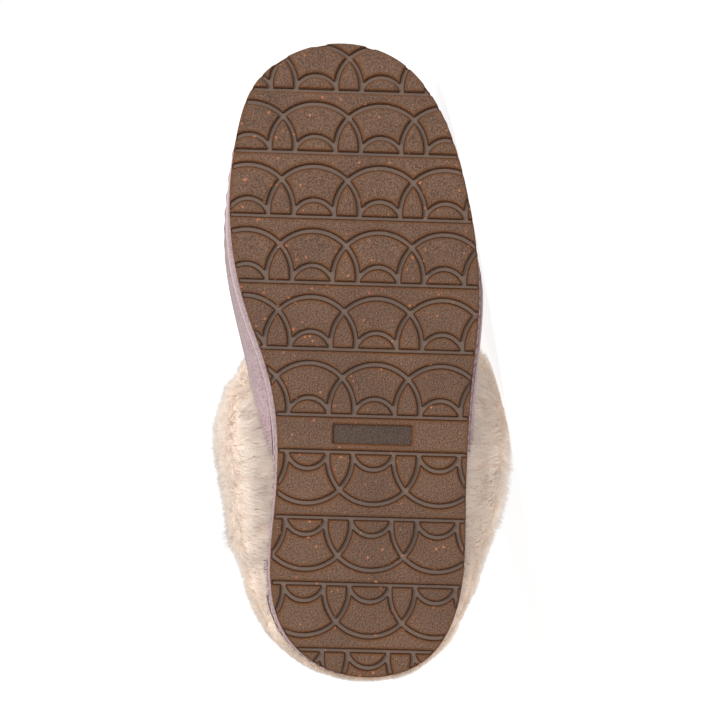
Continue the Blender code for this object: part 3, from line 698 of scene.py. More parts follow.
give_values(outsole, "edge", np.concatenate([edge_shade_value, np.full(side_count, SIDE_TINT)]))
give_values(outsole, "plate", np.concatenate([plate_value, np.zeros(side_count)]))
give_values(outsole, "depth", np.concatenate([depth_value, np.zeros(side_count)]))
fixed = bmesh.new()
fixed.from_mesh(outsole.data)
bmesh.ops.recalc_face_normals(fixed, faces=fixed.faces)
fixed.to_mesh(outsole.data)
fixed.free()
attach(outsole, "root")
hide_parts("outsole")

# The rand: a strip of suede that stands on the rim of the sole, cemented round it and stitched
# through to the upper, with its cut edge left raw at the top.
RAND_HEIGHT = 0.0085
RAND_WALL = 0.0016
RAND_PROUD = 0.0006
LIP_TURNS = (0.36, 0.44, 0.79, 0.83)
LIP_SHARES = (0.5, 1.0, 1.0, 0.5)
TUCK_TURNS = (0.42, 0.475, 0.62, 0.70)
RIM_COLUMNS = 720
TOE_TUCK = 0.0016
RAND_PROFILE = (
    # height as a share of RAND_HEIGHT, how far outside the sole's edge
    (0.00, -0.0002),
    (0.01, 0.0005),
    (0.07, 0.0008),
    (0.20, 0.0010),
    (0.35, 0.0011),
    (0.50, 0.0012),
    (0.62, 0.0011),
    (0.70, 0.0009),
    (0.76, 0.0010),
    (0.84, 0.0012),
    (0.92, 0.0016),
    (0.99, 0.0021),
    (1.05, 0.0022),
    (1.10, 0.0019),
    (1.12, 0.0012),
    (1.11, 0.0002),
)
SUEDE_LILAC = (0.292, 0.200, 0.213, 1)
SUEDE_DEEP = (0.225, 0.147, 0.160, 1)
SUEDE_BRUSHED = (0.500, 0.390, 0.390, 1)
SUEDE_RAW_EDGE = (0.500, 0.410, 0.410, 1)
SUEDE_PAINTED_SHADOW_AND_NAP = (0.185, 0.125, 0.135, 1)
SUEDE_SHEEN = (0.95, 0.85, 0.87, 1)
SUEDE_ROUGHNESS = 0.95
SUEDE_SHINE = 0.15
SUEDE_GRAIN = 1000.0
RAND_PATCH = 90.0
WORN_PATCHES = (0.38, 0.60)
NAP_GRAIN = (0.36, 0.64)
NAP_SHARE = 0.70
NAP_DRIFT = 1.5
NAP_STRENGTH = 0.5
NAP_HEIGHT = 0.00035
RAW_RISE = (0.86, 0.97)


def ring_faces(rows, columns):
    """Faces of a sheet of rings, each ring joined to itself."""
    low = np.arange(rows - 1)[:, None] * columns + np.arange(columns)[None, :]
    after = np.roll(low, -1, axis=1)
    return np.stack([low, after, after + columns, low + columns], axis=-1).reshape(-1, 4)


def off_floor(points, depth=0.0):
    """Flattens what would pass the floor; depth is how far a layer lies inside the skin."""
    points = np.array(points)
    points[..., 2] = np.maximum(points[..., 2], depth)
    return points


def tucked_in(turn):
    """1 round the inner side of the toe, where the suede stands back behind the sole's edge."""
    turn = np.mod(turn, 1.0)
    ramp = np.interp(turn, TUCK_TURNS, [0.0, 1.0, 1.0, 0.0])
    return ramp * ramp * (3 - 2 * ramp)


def make_suede(name, patch_scale):
    """Suede with a short nap: brushed lighter and darker in patches, raw where it is cut, and
    darkened by painted shadow where its vertices keep a shade value.
    """
    material, tree, shader, grain = start_material(
        name, SUEDE_ROUGHNESS, patch_scale=patch_scale, grain_scale=SUEDE_GRAIN, grain_detail=5.0
    )
    raw = kept_value(tree, "raw")
    shade = kept_value(tree, "shade")
    worn = remap(tree, grain.outputs["Patches"], *WORN_PATCHES)
    nap = remap(tree, grain.outputs["Grain"], *NAP_GRAIN)
    brushed = mix_colours(tree, worn, SUEDE_DEEP, SUEDE_LILAC)
    lifted = mix_colours(tree, combine(tree, nap, NAP_SHARE), brushed, SUEDE_BRUSHED)
    # Painted shadow, partly a darker nap, where the vertices keep a shade value.
    shaded = mix_colours(tree, shade, lifted, SUEDE_PAINTED_SHADOW_AND_NAP)
    tree.links.new(mix_colours(tree, raw, shaded, SUEDE_RAW_EDGE), shader.inputs["Base Color"])
    drifts = combine(tree, grain.outputs["Patches"], NAP_DRIFT)
    fuzz = combine(tree, grain.outputs["Grain"], drifts, "ADD")
    raise_surface(tree, shader, fuzz, NAP_STRENGTH, NAP_HEIGHT)
    shader.inputs["Sheen Weight"].default_value = 0.25
    shader.inputs["Sheen Roughness"].default_value = 0.5
    shader.inputs["Sheen Tint"].default_value = SUEDE_SHEEN
    shader.inputs["Specular IOR Level"].default_value = SUEDE_SHINE
    return material


rand_suede = make_suede("rand_suede", RAND_PATCH)
rim_turns = np.arange(RIM_COLUMNS) / RIM_COLUMNS
rim_spots = around(OUTLINE, rim_turns)
rim_ways = around(OUTLINE_NORMALS, rim_turns)
rings = []
lip_share = np.interp(rim_turns, LIP_TURNS, LIP_SHARES)
for share, proud in RAND_PROFILE:
    proud = proud * lip_share - TOE_TUCK * tucked_in(rim_turns) * (0.5 + 0.5 * share)
    plan = rim_spots + rim_ways * proud[:, None]
    level = sole_top(rim_spots[:, 0]) + GAP + share * RAND_HEIGHT
    rings.append(np.concatenate([plan, level[:, None]], axis=1))
rings = off_floor(laid(sprung(np.array(rings))))
faces = ring_faces(len(rings), RIM_COLUMNS)
rand = new_piece("suede_rand", rings.reshape(-1, 3), faces, rand_suede)
raw_share = np.interp([share for share, _ in RAND_PROFILE], RAW_RISE, [0.0, 1.0])
give_values(rand, "raw", np.repeat(raw_share, RIM_COLUMNS))
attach(rand, "root")
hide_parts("rand")

# The upper: lilac suede in two layers, the vamp laid over the quarter and stitched down along its
# wings. It is shaped by the same wall as its solid, with soft puckers at the toe and flex creases.
INSTEP_HEIGHT = 0.082
UPPER_WALL = 0.0018
UPPER_PROUD = 0.0013
VAMP_STEP = 0.0011
VAMP_EDGE = 0.0015
WALL_ROUNDNESS = 2.5
HEEL_WALL_ANGLE = 55.0
THROAT_WALL_ANGLE = 80.0
COLLAR_BACK = 0.080 * SOLE_LENGTH
COLLAR_FRONT = 0.500 * SOLE_LENGTH
COLLAR_WIDTH = 0.060
WING_STATION = 0.345 * SOLE_LENGTH
WING_LEAN = 0.075
WING_SPREAD = 0.10
WING_SLANT = 0.0095
SLANT_RISE = 0.09
SLANT_REACH = 0.03
UPPER_ROWS = 62
UPPER_COLUMNS = 540
INNER_SKIP = 6
UPPER_CREASE = 50
EDGE_OFFS = (-0.0012, -0.0005, -0.00025, 0.0, 0.00025, 0.0005, 0.0012)
VAMP_EDGE_TURN = 0.0005
RAW_EDGE_TURN = 0.0004
UPPER_PATCH = 62.0
WING_PAINTED_SHADOW_AND_NAP = 0.55
WING_PAINTED_SHADOW_AND_NAP_TURN = 0.009
PROBE = 0.0004
PUCKER_DEPTH = 0.00045
PUCKERS = 74
PUCKER_RISE = 0.22
PUCKER_START, PUCKER_RUN = 0.62, 0.2
CREASE_START, CREASE_RUN = 0.030, 0.020
CREASE_RIDGE = 0.35
CREASE_WANDER = 0.0012
FOOT_SEAM = 0.0004
CREST = (
    # share of the sole's length, share of the instep's height
    (0.00, 0.77),
    (0.10, 0.74),
    (0.28, 0.68),
    (0.40, 0.78),
    (0.50, 1.00),
    (0.60, 0.93),
    (0.72, 0.82),
    (0.84, 0.76),
    (0.94, 0.75),
    (1.00, 0.74),
)
CREASES = (
    # share of the sole's length, slant, depth in metres, half width in metres
    (0.640, 0.10, 0.0007, 0.0032),
    (0.705, -0.08, 0.0009, 0.0036),
    (0.765, 0.05, 0.0006, 0.0030),
)


def half_turn(turn):
    """Share of the way from the heel to the toe along either side, and the side's sign."""
    turn = np.mod(turn, 1.0)
    share = np.where(turn <= TOE_TURN, turn / TOE_TURN, (1 - turn) / (1 - TOE_TURN))
    return share, np.where(turn <= TOE_TURN, 1.0, -1.0)


def collar_share(turn):
    """The half turn round the collar that belongs to a place on the outline."""
    share, _ = half_turn(turn)
    return 0.35 * share + 0.65 * (1 - (1 - share) ** 2)


def wall_point(turn, rise):
    """A point on the upper's skin: turn runs round the shoe, rise from the rand to the collar."""
    station = around(OUTLINE, turn)
    normal = around(OUTLINE_NORMALS, turn)
    normal = normal / np.linalg.norm(normal, axis=-1)[..., None]
    foot = station + normal * UPPER_PROUD
    level = sole_top(station[..., 0]) + RAND_HEIGHT + 2 * GAP
    foot = sprung(np.concatenate([foot, level[..., None]], axis=-1))
    _, side = half_turn(turn)
    front = collar_share(turn)
    angle = math.pi * front
    middle, half_length = (COLLAR_BACK + COLLAR_FRONT) / 2, (COLLAR_FRONT - COLLAR_BACK) / 2
    collar = np.stack(
        [middle - half_length * np.cos(angle), side * COLLAR_WIDTH / 2 * np.sin(angle)], axis=-1
    )
    full = np.radians(
        HEEL_WALL_ANGLE + (THROAT_WALL_ANGLE - HEEL_WALL_ANGLE) * (1 - np.cos(angle)) / 2
    )
    power = 2 / WALL_ROUNDNESS
    inwards = (1 - np.cos(rise * full) ** power) / (1 - np.cos(full) ** power)
    upwards = np.sin(rise * full) ** power / np.sin(full) ** power
    place = foot[..., 0] / SOLE_LENGTH
    swell = np.where(side > 0, smooth(SOLE_STATIONS, 3, place), smooth(SOLE_STATIONS, 4, place))
    swell = swell * BALL_WIDTH * np.sin(math.pi * np.clip(upwards, 0, 1) ** 0.7)
    plan = foot[..., :2] + (collar - foot[..., :2]) * inwards[..., None] + normal * swell[..., None]
    crest = smooth(CREST, 1, plan[..., 0] / SOLE_LENGTH) * INSTEP_HEIGHT
    height = foot[..., 2] + (crest - foot[..., 2]) * upwards
    return np.concatenate([plan, height[..., None]], axis=-1)


WINGS = []
for side in (1, -1):
    half = np.flatnonzero(OUTLINE[:, 1] * side > BALL_WIDTH / 5)
    WINGS.append(OUTLINE_TURNS[half[np.abs(OUTLINE[half, 0] - WING_STATION).argmin()]])


def wall_layer(turn, rise, out):
    """The upper's wall: points at a distance out of its skin, its upward and outward ways."""
    turn, rise, out = np.broadcast_arrays(turn, rise, out)
    lean = np.zeros(turn.shape)
    for wing, way in zip(WINGS, (1, -1)):
        lean = lean + way * np.exp(-((np.abs(turn - wing) / WING_SPREAD) ** 2))
    place = turn + WING_LEAN * lean * rise
    point = wall_point(place, rise)
    along = wall_point(place + PROBE, rise) - wall_point(place - PROBE, rise)
    low = np.clip(rise - PROBE, 0.002, 1)
    up = wall_point(place, np.clip(rise + PROBE, 0.002 + PROBE, 1)) - wall_point(place, low)
    normal = np.cross(up, along)
    normal /= np.linalg.norm(normal, axis=-1)[..., None]
    heart = np.array([SOLE_LENGTH / 2, 0, INSTEP_HEIGHT / 4])
    normal = np.where(((point - heart) * normal).sum(axis=-1)[..., None] < 0, -normal, normal)
    return point + normal * out[..., None], up / np.linalg.norm(up, axis=-1)[..., None], normal


def on_vamp(turn):
    """1 on the vamp, 0 on the quarter, with a steep cut edge between them."""
    first = np.clip((turn - WINGS[0]) / VAMP_EDGE_TURN + 0.5, 0, 1)
    last = np.clip((WINGS[1] - turn) / VAMP_EDGE_TURN + 0.5, 0, 1)
    return np.minimum(first, last)


def slanted(turn, rise):
    """Slides the wings' edges toward the toe above the rand, so that they run up at a slant."""
    slide = WING_SLANT * (1 - np.exp(-rise / SLANT_RISE))
    for wing, way in zip(WINGS, (1, -1)):
        turn = turn + way * slide * np.exp(-(((turn - wing) / SLANT_REACH) ** 2))
    return turn


wall_turns = list(np.arange(UPPER_COLUMNS) / UPPER_COLUMNS)
for wing in WINGS:
    wall_turns += [wing + off for off in EDGE_OFFS]
wall_turns = np.array(sorted(wall_turns))
wall_rises = np.linspace(0, 1, UPPER_ROWS)
turns, rises = np.meshgrid(wall_turns, wall_rises)
laid_turns = slanted(turns, rises)
skin, _, _ = wall_layer(laid_turns, rises, 0.0)
front_share = np.clip((skin[..., 0] / SOLE_LENGTH - PUCKER_START) / PUCKER_RUN, 0, 1)
waviness = np.sin(2 * math.pi * (PUCKERS * turns + 0.35 * np.sin(2 * math.pi * 9 * turns)))
puckers = PUCKER_DEPTH * waviness * np.exp(-((rises / PUCKER_RISE) ** 2)) * front_share
troughs = np.zeros_like(turns)
for station, slant, depth, half in CREASES:
    line = skin[..., 0] - station * SOLE_LENGTH - slant * skin[..., 1]
    line = line - CREASE_WANDER * np.sin(skin[..., 1] * 160 + station * 40)
    fade = np.clip((skin[..., 2] - CREASE_START) / CREASE_RUN, 0, 1)
    ridge = CREASE_RIDGE * np.exp(-(((line - 2.2 * half) / half) ** 2))
    troughs -= depth * fade * (np.exp(-((line / half) ** 2)) - ridge)
toe_tuck = 1.5 * TOE_TUCK * tucked_in(turns) * np.cos(rises * math.pi / 2)
seam = -FOOT_SEAM * np.exp(-((rises / 0.02) ** 2)) - toe_tuck
vamp_share = on_vamp(turns)
proud = VAMP_EDGE * vamp_share + (puckers + troughs) * vamp_share + seam
outer = off_floor(laid(wall_layer(laid_turns, rises, proud)[0]))
inner = wall_layer(laid_turns[::INNER_SKIP], rises[::INNER_SKIP], -UPPER_WALL)[0]
inner = off_floor(laid(inner), UPPER_WALL)
rings = np.concatenate([inner[:1], outer, inner[::-1]])
upper_suede = make_suede("upper_suede", UPPER_PATCH)
faces = ring_faces(len(rings), len(wall_turns))
upper = new_piece("suede_upper", rings.reshape(-1, 3), faces, upper_suede, UPPER_CREASE)
raw_edge = np.exp(-(((wall_turns[:, None] - WINGS) / RAW_EDGE_TURN) ** 2)).max(axis=1)
raw_rows = np.zeros((len(rings), len(wall_turns)))
raw_rows[1 : UPPER_ROWS + 1] = raw_edge
give_values(upper, "raw", raw_rows.ravel())
# Painted shadow behind the edges of the vamp's wings, partly a darker nap on the quarter: dark
# mauve fading away from each wing's edge.
behind = np.maximum(
    np.exp(-((WINGS[0] - wall_turns) / WING_PAINTED_SHADOW_AND_NAP_TURN)) * (wall_turns < WINGS[0]),
    np.exp(-((wall_turns - WINGS[1]) / WING_PAINTED_SHADOW_AND_NAP_TURN)) * (wall_turns > WINGS[1]),
)
give_values(upper, "shade", np.tile(behind * WING_PAINTED_SHADOW_AND_NAP, len(rings)))
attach(upper, "root")
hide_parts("upper")

# The stitching: waxed thread in a row along the top of the rand and in two rows beside the edge of
# each wing, every stitch a short bead of thread that dips into the suede at both ends.
STITCH_LENGTH = 0.0031
STITCH_PITCH = 0.0041
THREAD_RADIUS = 0.00034
THREAD_SIDES = 6
STITCH_RINGS = 7
RAND_ROW_OUT = 0.0009
RAND_ROW_HEIGHT = 0.72 * RAND_HEIGHT
RAND_ROW_POINTS = 900
WING_ROW_TOP = 0.42
WING_ROW_OFFS = (0.0042, 0.0082)
WING_ROW_POINTS = 120
THREAD_LILAC = (0.55, 0.44, 0.44, 1)
THREAD_ROUGHNESS = 0.6
THREAD_PATCH = 400.0
THREAD_GRAIN = 2600.0
THREAD_RELIEF = 0.0001


def stitch_row(path, ways):
    """Beads of thread at even steps along a path of points with the surface's outward ways."""
    run = np.concatenate([[0], np.cumsum(np.linalg.norm(np.diff(path, axis=0), axis=1))])
    starts = np.arange(STITCH_PITCH / 2, run[-1] - STITCH_PITCH, STITCH_PITCH)
    share = np.linspace(0, 1, STITCH_RINGS)
    angle = np.arange(THREAD_SIDES) / THREAD_SIDES * 2 * math.pi
    sine, cosine = np.sin(angle)[None, :, None], np.cos(angle)[None, :, None]
    points, faces = [], []
    for begin in starts:
        at = begin + share * STITCH_LENGTH
        spine = np.stack([np.interp(at, run, path[:, k]) for k in range(3)], axis=1)
        way = np.stack([np.interp(at, run, ways[:, k]) for k in range(3)], axis=1)
        way /= np.linalg.norm(way, axis=1)[:, None]
        ahead = spine[-1] - spine[0]
        across = np.cross(way, ahead / np.linalg.norm(ahead))
        dip = THREAD_RADIUS * (0.9 - 2.2 * np.abs(2 * share - 1) ** 4)
        thick = THREAD_RADIUS * np.sqrt(np.clip(1 - np.abs(2 * share - 1) ** 3, 0.05, 1))
        ring = spine[:, None] + way[:, None] * dip[:, None, None]
        round_thread = cosine * across[:, None] + sine * way[:, None]
        ring = ring + thick[:, None, None] * round_thread
        faces.append(ring_faces(STITCH_RINGS, THREAD_SIDES) + sum(len(p) for p in points))
        points.append(ring.reshape(-1, 3))
    return np.concatenate(points), np.concatenate(faces)


thread, tree, shader, grain = start_material(
    "waxed_thread", THREAD_ROUGHNESS, patch_scale=THREAD_PATCH, grain_scale=THREAD_GRAIN
)
strands = remap(tree, grain.outputs["Grain"], 0.3, 0.7)
twist = mix_colours(tree, strands, SUEDE_LILAC, THREAD_LILAC)
tree.links.new(twist, shader.inputs["Base Color"])
raise_surface(tree, shader, grain.outputs["Grain"], 0.4, THREAD_RELIEF)
rows = []
ring_turns = np.linspace(0, 1, RAND_ROW_POINTS)
out_by = RAND_ROW_OUT - 0.86 * TOE_TUCK * tucked_in(ring_turns)
outs = around(OUTLINE_NORMALS, ring_turns)
plan = around(OUTLINE, ring_turns) + outs * out_by[:, None]
level = sole_top(plan[:, 0]) + GAP + RAND_ROW_HEIGHT
spine = off_floor(laid(sprung(np.concatenate([plan, level[:, None]], axis=1))), THREAD_RADIUS)
rows.append((spine, laid_way(np.concatenate([outs, np.zeros_like(level)[:, None]], axis=1))))
line_rises = np.linspace(0.01, WING_ROW_TOP, WING_ROW_POINTS)
for wing, inward in zip(WINGS, (1, -1)):
    for off in WING_ROW_OFFS:
        line_turns = slanted(np.full(WING_ROW_POINTS, wing + inward * off), line_rises)
        spine, _, out = wall_layer(line_turns, line_rises, VAMP_EDGE)
        rows.append((off_floor(laid(spine), THREAD_RADIUS), laid_way(out)))
made = [stitch_row(path, ways) for path, ways in rows]
sizes = np.cumsum([0] + [len(points) for points, _ in made])
faces = np.concatenate([faces + size for (_, faces), size in zip(made, sizes)])
points = np.concatenate([points for points, _ in made])
stitching = new_piece("stitching", points, faces, thread)
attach(stitching, "root")

# The footbed: a pad of short fleece inside the rand, soft and slightly hollowed, laid on the sole.
# The pad is a set of rings over the sole's shape, and its fibres are planted with the cuff's below.
FOOTBED_THICKNESS = 0.0080
FOOTBED_HOLLOW = 0.0015
FLEECE_SHADE = (0.72, 0.56, 0.44, 1)
FLEECE_LIGHT = (0.87, 0.77, 0.68, 1)
FLEECE_PAINTED_GLOW = 0.16
FOOTBED_CURLS = 420.0
FLEECE_PATCH = 70.0
FLEECE_HOLLOWS = (0.35, 0.65)
CURL_DRIFT = 2.0
CURL_STRENGTH = 0.8
CURL_HEIGHT = 0.0012
WOOL_SHINE = 0.05
PAD_SPINE = (0.032, 0.232)
PAD_SPINE_OFF = -0.004
PAD_SPINE_BEND = -0.012
PAD_BEND_START, PAD_BEND_LENGTH = 0.12, 0.11
PAD_TOP_RINGS = 30
PAD_EDGE = (
    # share of the way out from the pad's middle line, share of its thickness
    (1.0, 0.0),
    (1.0, 0.5),
    (0.997, 0.75),
    (0.985, 0.93),
    (0.96, 1.0),
)


def make_fleece(name, curl_scale):
    """The dense wool below the fibres' tips: painted warm shade in its hollows, small curls on its
    skin, a faint painted glow.
    """
    material, tree, shader, grain = start_material(
        name, 1.0, patch_scale=FLEECE_PATCH, grain_scale=curl_scale, grain_detail=4.0
    )
    hollow = remap(tree, grain.outputs["Grain"], *FLEECE_HOLLOWS)
    # Painted shade: darker and warmer in the hollows between the curls, lighter on their tops.
    curled = mix_colours(tree, hollow, FLEECE_SHADE, FLEECE_LIGHT)
    tree.links.new(curled, shader.inputs["Base Color"])
    # Painted light: the fleece glows faintly in its own colour.
    tree.links.new(curled, shader.inputs["Emission Color"])
    shader.inputs["Emission Strength"].default_value = FLEECE_PAINTED_GLOW
    drifts = combine(tree, grain.outputs["Patches"], CURL_DRIFT)
    curls = combine(tree, grain.outputs["Grain"], drifts, "ADD")
    raise_surface(tree, shader, curls, CURL_STRENGTH, CURL_HEIGHT)
    shader.inputs["Specular IOR Level"].default_value = WOOL_SHINE
    return material


footbed_fleece = make_fleece("footbed_fleece", FOOTBED_CURLS)
pad_inset = -min(RAND_PROUD - RAND_WALL, UPPER_PROUD - UPPER_WALL) + 2 * GAP
pad_turns = rim_turns[::2]
edge_plan = around(OUTLINE, pad_turns) - around(OUTLINE_NORMALS, pad_turns) * pad_inset
along_spine = np.clip(edge_plan[:, 0], *PAD_SPINE)
bend = np.clip((along_spine - PAD_BEND_START) / PAD_BEND_LENGTH, 0, 1)
middle_plan = np.stack([along_spine, PAD_SPINE_OFF + PAD_SPINE_BEND * bend], axis=1)
pad_rings = [(share, level * FOOTBED_THICKNESS) for share, level in PAD_EDGE]
for share in np.linspace(0.93, 0.0, PAD_TOP_RINGS):
    pad_rings.append((share, FOOTBED_THICKNESS + FOOTBED_HOLLOW * (share - 1) * share * 2))
rings = []
for share, height in pad_rings:
    plan = middle_plan + (edge_plan - middle_plan) * share
    level = sole_top(plan[:, 0]) + GAP + height
    rings.append(np.concatenate([plan, level[:, None]], axis=1))
footbed_rings = off_floor(laid(sprung(np.array(rings))), RAND_WALL + 2 * GAP)
faces = ring_faces(len(rings), len(pad_turns))
footbed = new_piece("footbed_pad", footbed_rings.reshape(-1, 3), faces, footbed_fleece)
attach(footbed, "root")
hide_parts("footbed")

# The cuff: shearling turned out over the collar, with its wool outside, and going on down the
# inside as the lining. A dense woolly body is made first, then its fibres are planted in locks.
CUFF_PILE = 0.026
CUFF_RISE = 0.013
CUFF_INSIDE = 0.009
CUFF_DROOP = 0.005
LINING_PILE = 0.0045
LINING_TUCK = 0.003
LINING_TOP = 0.74
LINING_ROWS = 20
LINING_BODY = 0.75
CUFF_CURLS = 330.0
THIN_SWELL = 3.0
THIN_PILE = 0.40 * CUFF_PILE
FULL_PILE = 0.30 * CUFF_PILE
SHORTEST_FIBRE = 0.34
INSET_SHARE = 0.55
HANG_TOP, HANG_RUN = 0.13, 0.12
LAY_UNDER = -1.6
LAY_LOW, LAY_GAIN, LAY_RUN = -2.6, 1.6, 0.2
LOCK_DEPTH = 0.0010
LOCKS_AROUND = 22
BODY_INSET = 0.0072
BODY_FLOOR = 0.0006
CUFF_COLUMNS = 540
CUFF_TURN = (
    # share of the half turn, depth outside and inside as shares of CUFF_PILE, rise of its edge
    (0.00, 0.05, 0.05, 0.12),
    (0.12, 0.08, 0.12, 0.07),
    (0.25, 0.19, 0.32, 0.03),
    (0.40, 0.62, 0.72, 0.01),
    (0.52, 0.78, 0.74, 0.06),
    (0.58, 0.74, 0.54, 0.17),
    (0.63, 0.50, 0.15, 0.36),
    (0.70, 0.28, 0.12, 0.56),
    (0.87, 0.28, 0.22, 0.82),
    (1.00, 0.42, 0.42, 0.92),
)
CUFF_OUTSIDE = (
    # share of the way up the covered wall, share of the depth
    (0.00, 0.42),
    (0.01, 0.87),
    (0.13, 0.97),
    (0.27, 1.00),
    (0.57, 1.00),
    (0.86, 0.96),
    (1.00, 0.92),
)
CUFF_WAYS = (
    0.0, 0.01, 0.04, 0.08, 0.13, 0.2, 0.28, 0.36, 0.44, 0.52, 0.60, 0.68, 0.76, 0.84, 0.92, 1.0
)
ROLL_ANGLES = (20, 40, 60, 80, 100, 120, 140, 160)
INSIDE_RISES = (0.97, 0.92, 0.86, 0.78, 0.7)
WOOL_GLOW = 0.5
WOOL_PAINTED_GLOW = 0.26
WOOL_ROOT_SHADE = (0.890, 0.735, 0.600, 1)
WOOL_TIP = (0.950, 0.905, 0.860, 1)
WOOL_WARM = (0.925, 0.835, 0.755, 1)
WOOL_PIECES = 4
FIBRE_WIDTH = 0.00022
KNEE = 0.45
FIBRE_SINK = np.array([0.0, 0.0, -0.10])
LOCK_SWAY = 0.05
LOCK_LENGTHS = (0.90, 1.08)
LOCK_PULL = (0.04, 0.24)
LOCK_SHINE = 0.18
LAY_SHINE = 0.15
FIBRE_SWAY = 0.17
FIBRE_LENGTHS = (0.72, 1.1)
FIBRE_CURL = 0.055
WIDTH_SWAY = 0.45
KNEE_OUT, KNEE_ON = 0.52, 0.12
INNER_FIBRES = 14000
# Fibres, their length, the seed, how upright, the size of a lock, least height over the floor
CUFF_WOOL = (320000, 0.0082, 11, 0.70, 0.0060, 0.0004)
LINING_WOOL = (INNER_FIBRES, 0.0048, 12, 0.7, 0.0045, 0.002)
FOOTBED_WOOL = (INNER_FIBRES, 0.0046, 13, 0.8, 0.0045, 0.002)


def fibre_share(thickness):
    """How much of the full fibre length wool of a thickness carries."""
    return np.clip(thickness / FULL_PILE, SHORTEST_FIBRE, 1.0)


def cuff_rings(turn):
    """Rings of the cuff: from the wall out and up its outside, over the roll and down inside.

    Each ring has its fibres' lay down the cuff, and each point the share of a full fibre there.
    """
    spread = collar_share(turn)
    outer_side = half_turn(turn)[1] > 0
    pile = np.where(outer_side, smooth(CUFF_TURN, 1, spread), smooth(CUFF_TURN, 2, spread))
    depth = pile * CUFF_PILE
    swell = THIN_SWELL * np.clip(1 - depth / THIN_PILE, 0, 1)
    low = smooth(CUFF_TURN, 3, spread)
    inset = np.minimum(BODY_INSET, INSET_SHARE * depth)
    depth = depth - inset
    drape = np.clip(1 - low, 0, 1)
    underside = low * np.clip((spread - 0.44) / 0.08, 0, 1)
    rings = [wall_layer(turn, underside + 0.01, VAMP_STEP * on_vamp(turn) + GAP)[0]]
    ways = [LAY_UNDER]
    piles = [fibre_share(depth)]
    for way in CUFF_WAYS:
        share = np.interp(way, *zip(*CUFF_OUTSIDE))
        wave = np.cos(math.pi * (LOCKS_AROUND * spread + round(way * 3)))
        bulge = LOCK_DEPTH * (0.45 + 0.55 * wave) * np.sin(math.pi * (0.15 + 0.7 * way))
        rise = low + (1 - low) * way
        ring = wall_layer(turn, rise, depth * share * (1 + swell * way) + bulge * 0.8)[0]
        hang = np.clip((HANG_TOP - way) / HANG_RUN, 0, 1)
        ring[:, 2] -= (CUFF_DROOP + bulge - inset) * drape * share * hang
        rings.append(ring)
        ways.append(LAY_LOW + LAY_GAIN * min(1.0, way / LAY_RUN))
        piles.append(fibre_share(depth * (1 + swell * way)))
    edge, climb, away = wall_layer(turn, np.ones_like(turn), 0.0)
    for angle in ROLL_ANGLES:
        turned = math.radians(angle)
        blend = (1 - math.cos(turned)) / 2
        side = depth * 0.92 * (1 + swell) * (1 - blend) + (CUFF_INSIDE - BODY_INSET / 2) * blend
        sideways = away * (np.abs(side) * math.cos(turned))[:, None]
        rings.append(edge + sideways + climb * ((CUFF_RISE - BODY_INSET / 2) * math.sin(turned)))
        ways.append(-1.0 if angle < 70 else (0.0 if angle < 110 else 1.0))
        piles.append(fibre_share(depth * (1 + swell) * (1 - blend) + CUFF_INSIDE * blend))
    for rise in INSIDE_RISES:
        thick = np.interp(rise, [0.7, 1.0], [LINING_PILE, CUFF_INSIDE - BODY_INSET / 2])
        rings.append(wall_layer(turn, np.full_like(turn, rise), -UPPER_WALL - thick)[0])
        ways.append(1.0)
        piles.append(fibre_share(np.full_like(turn, thick)))
    return np.array(rings), np.array(ways), np.array(piles)


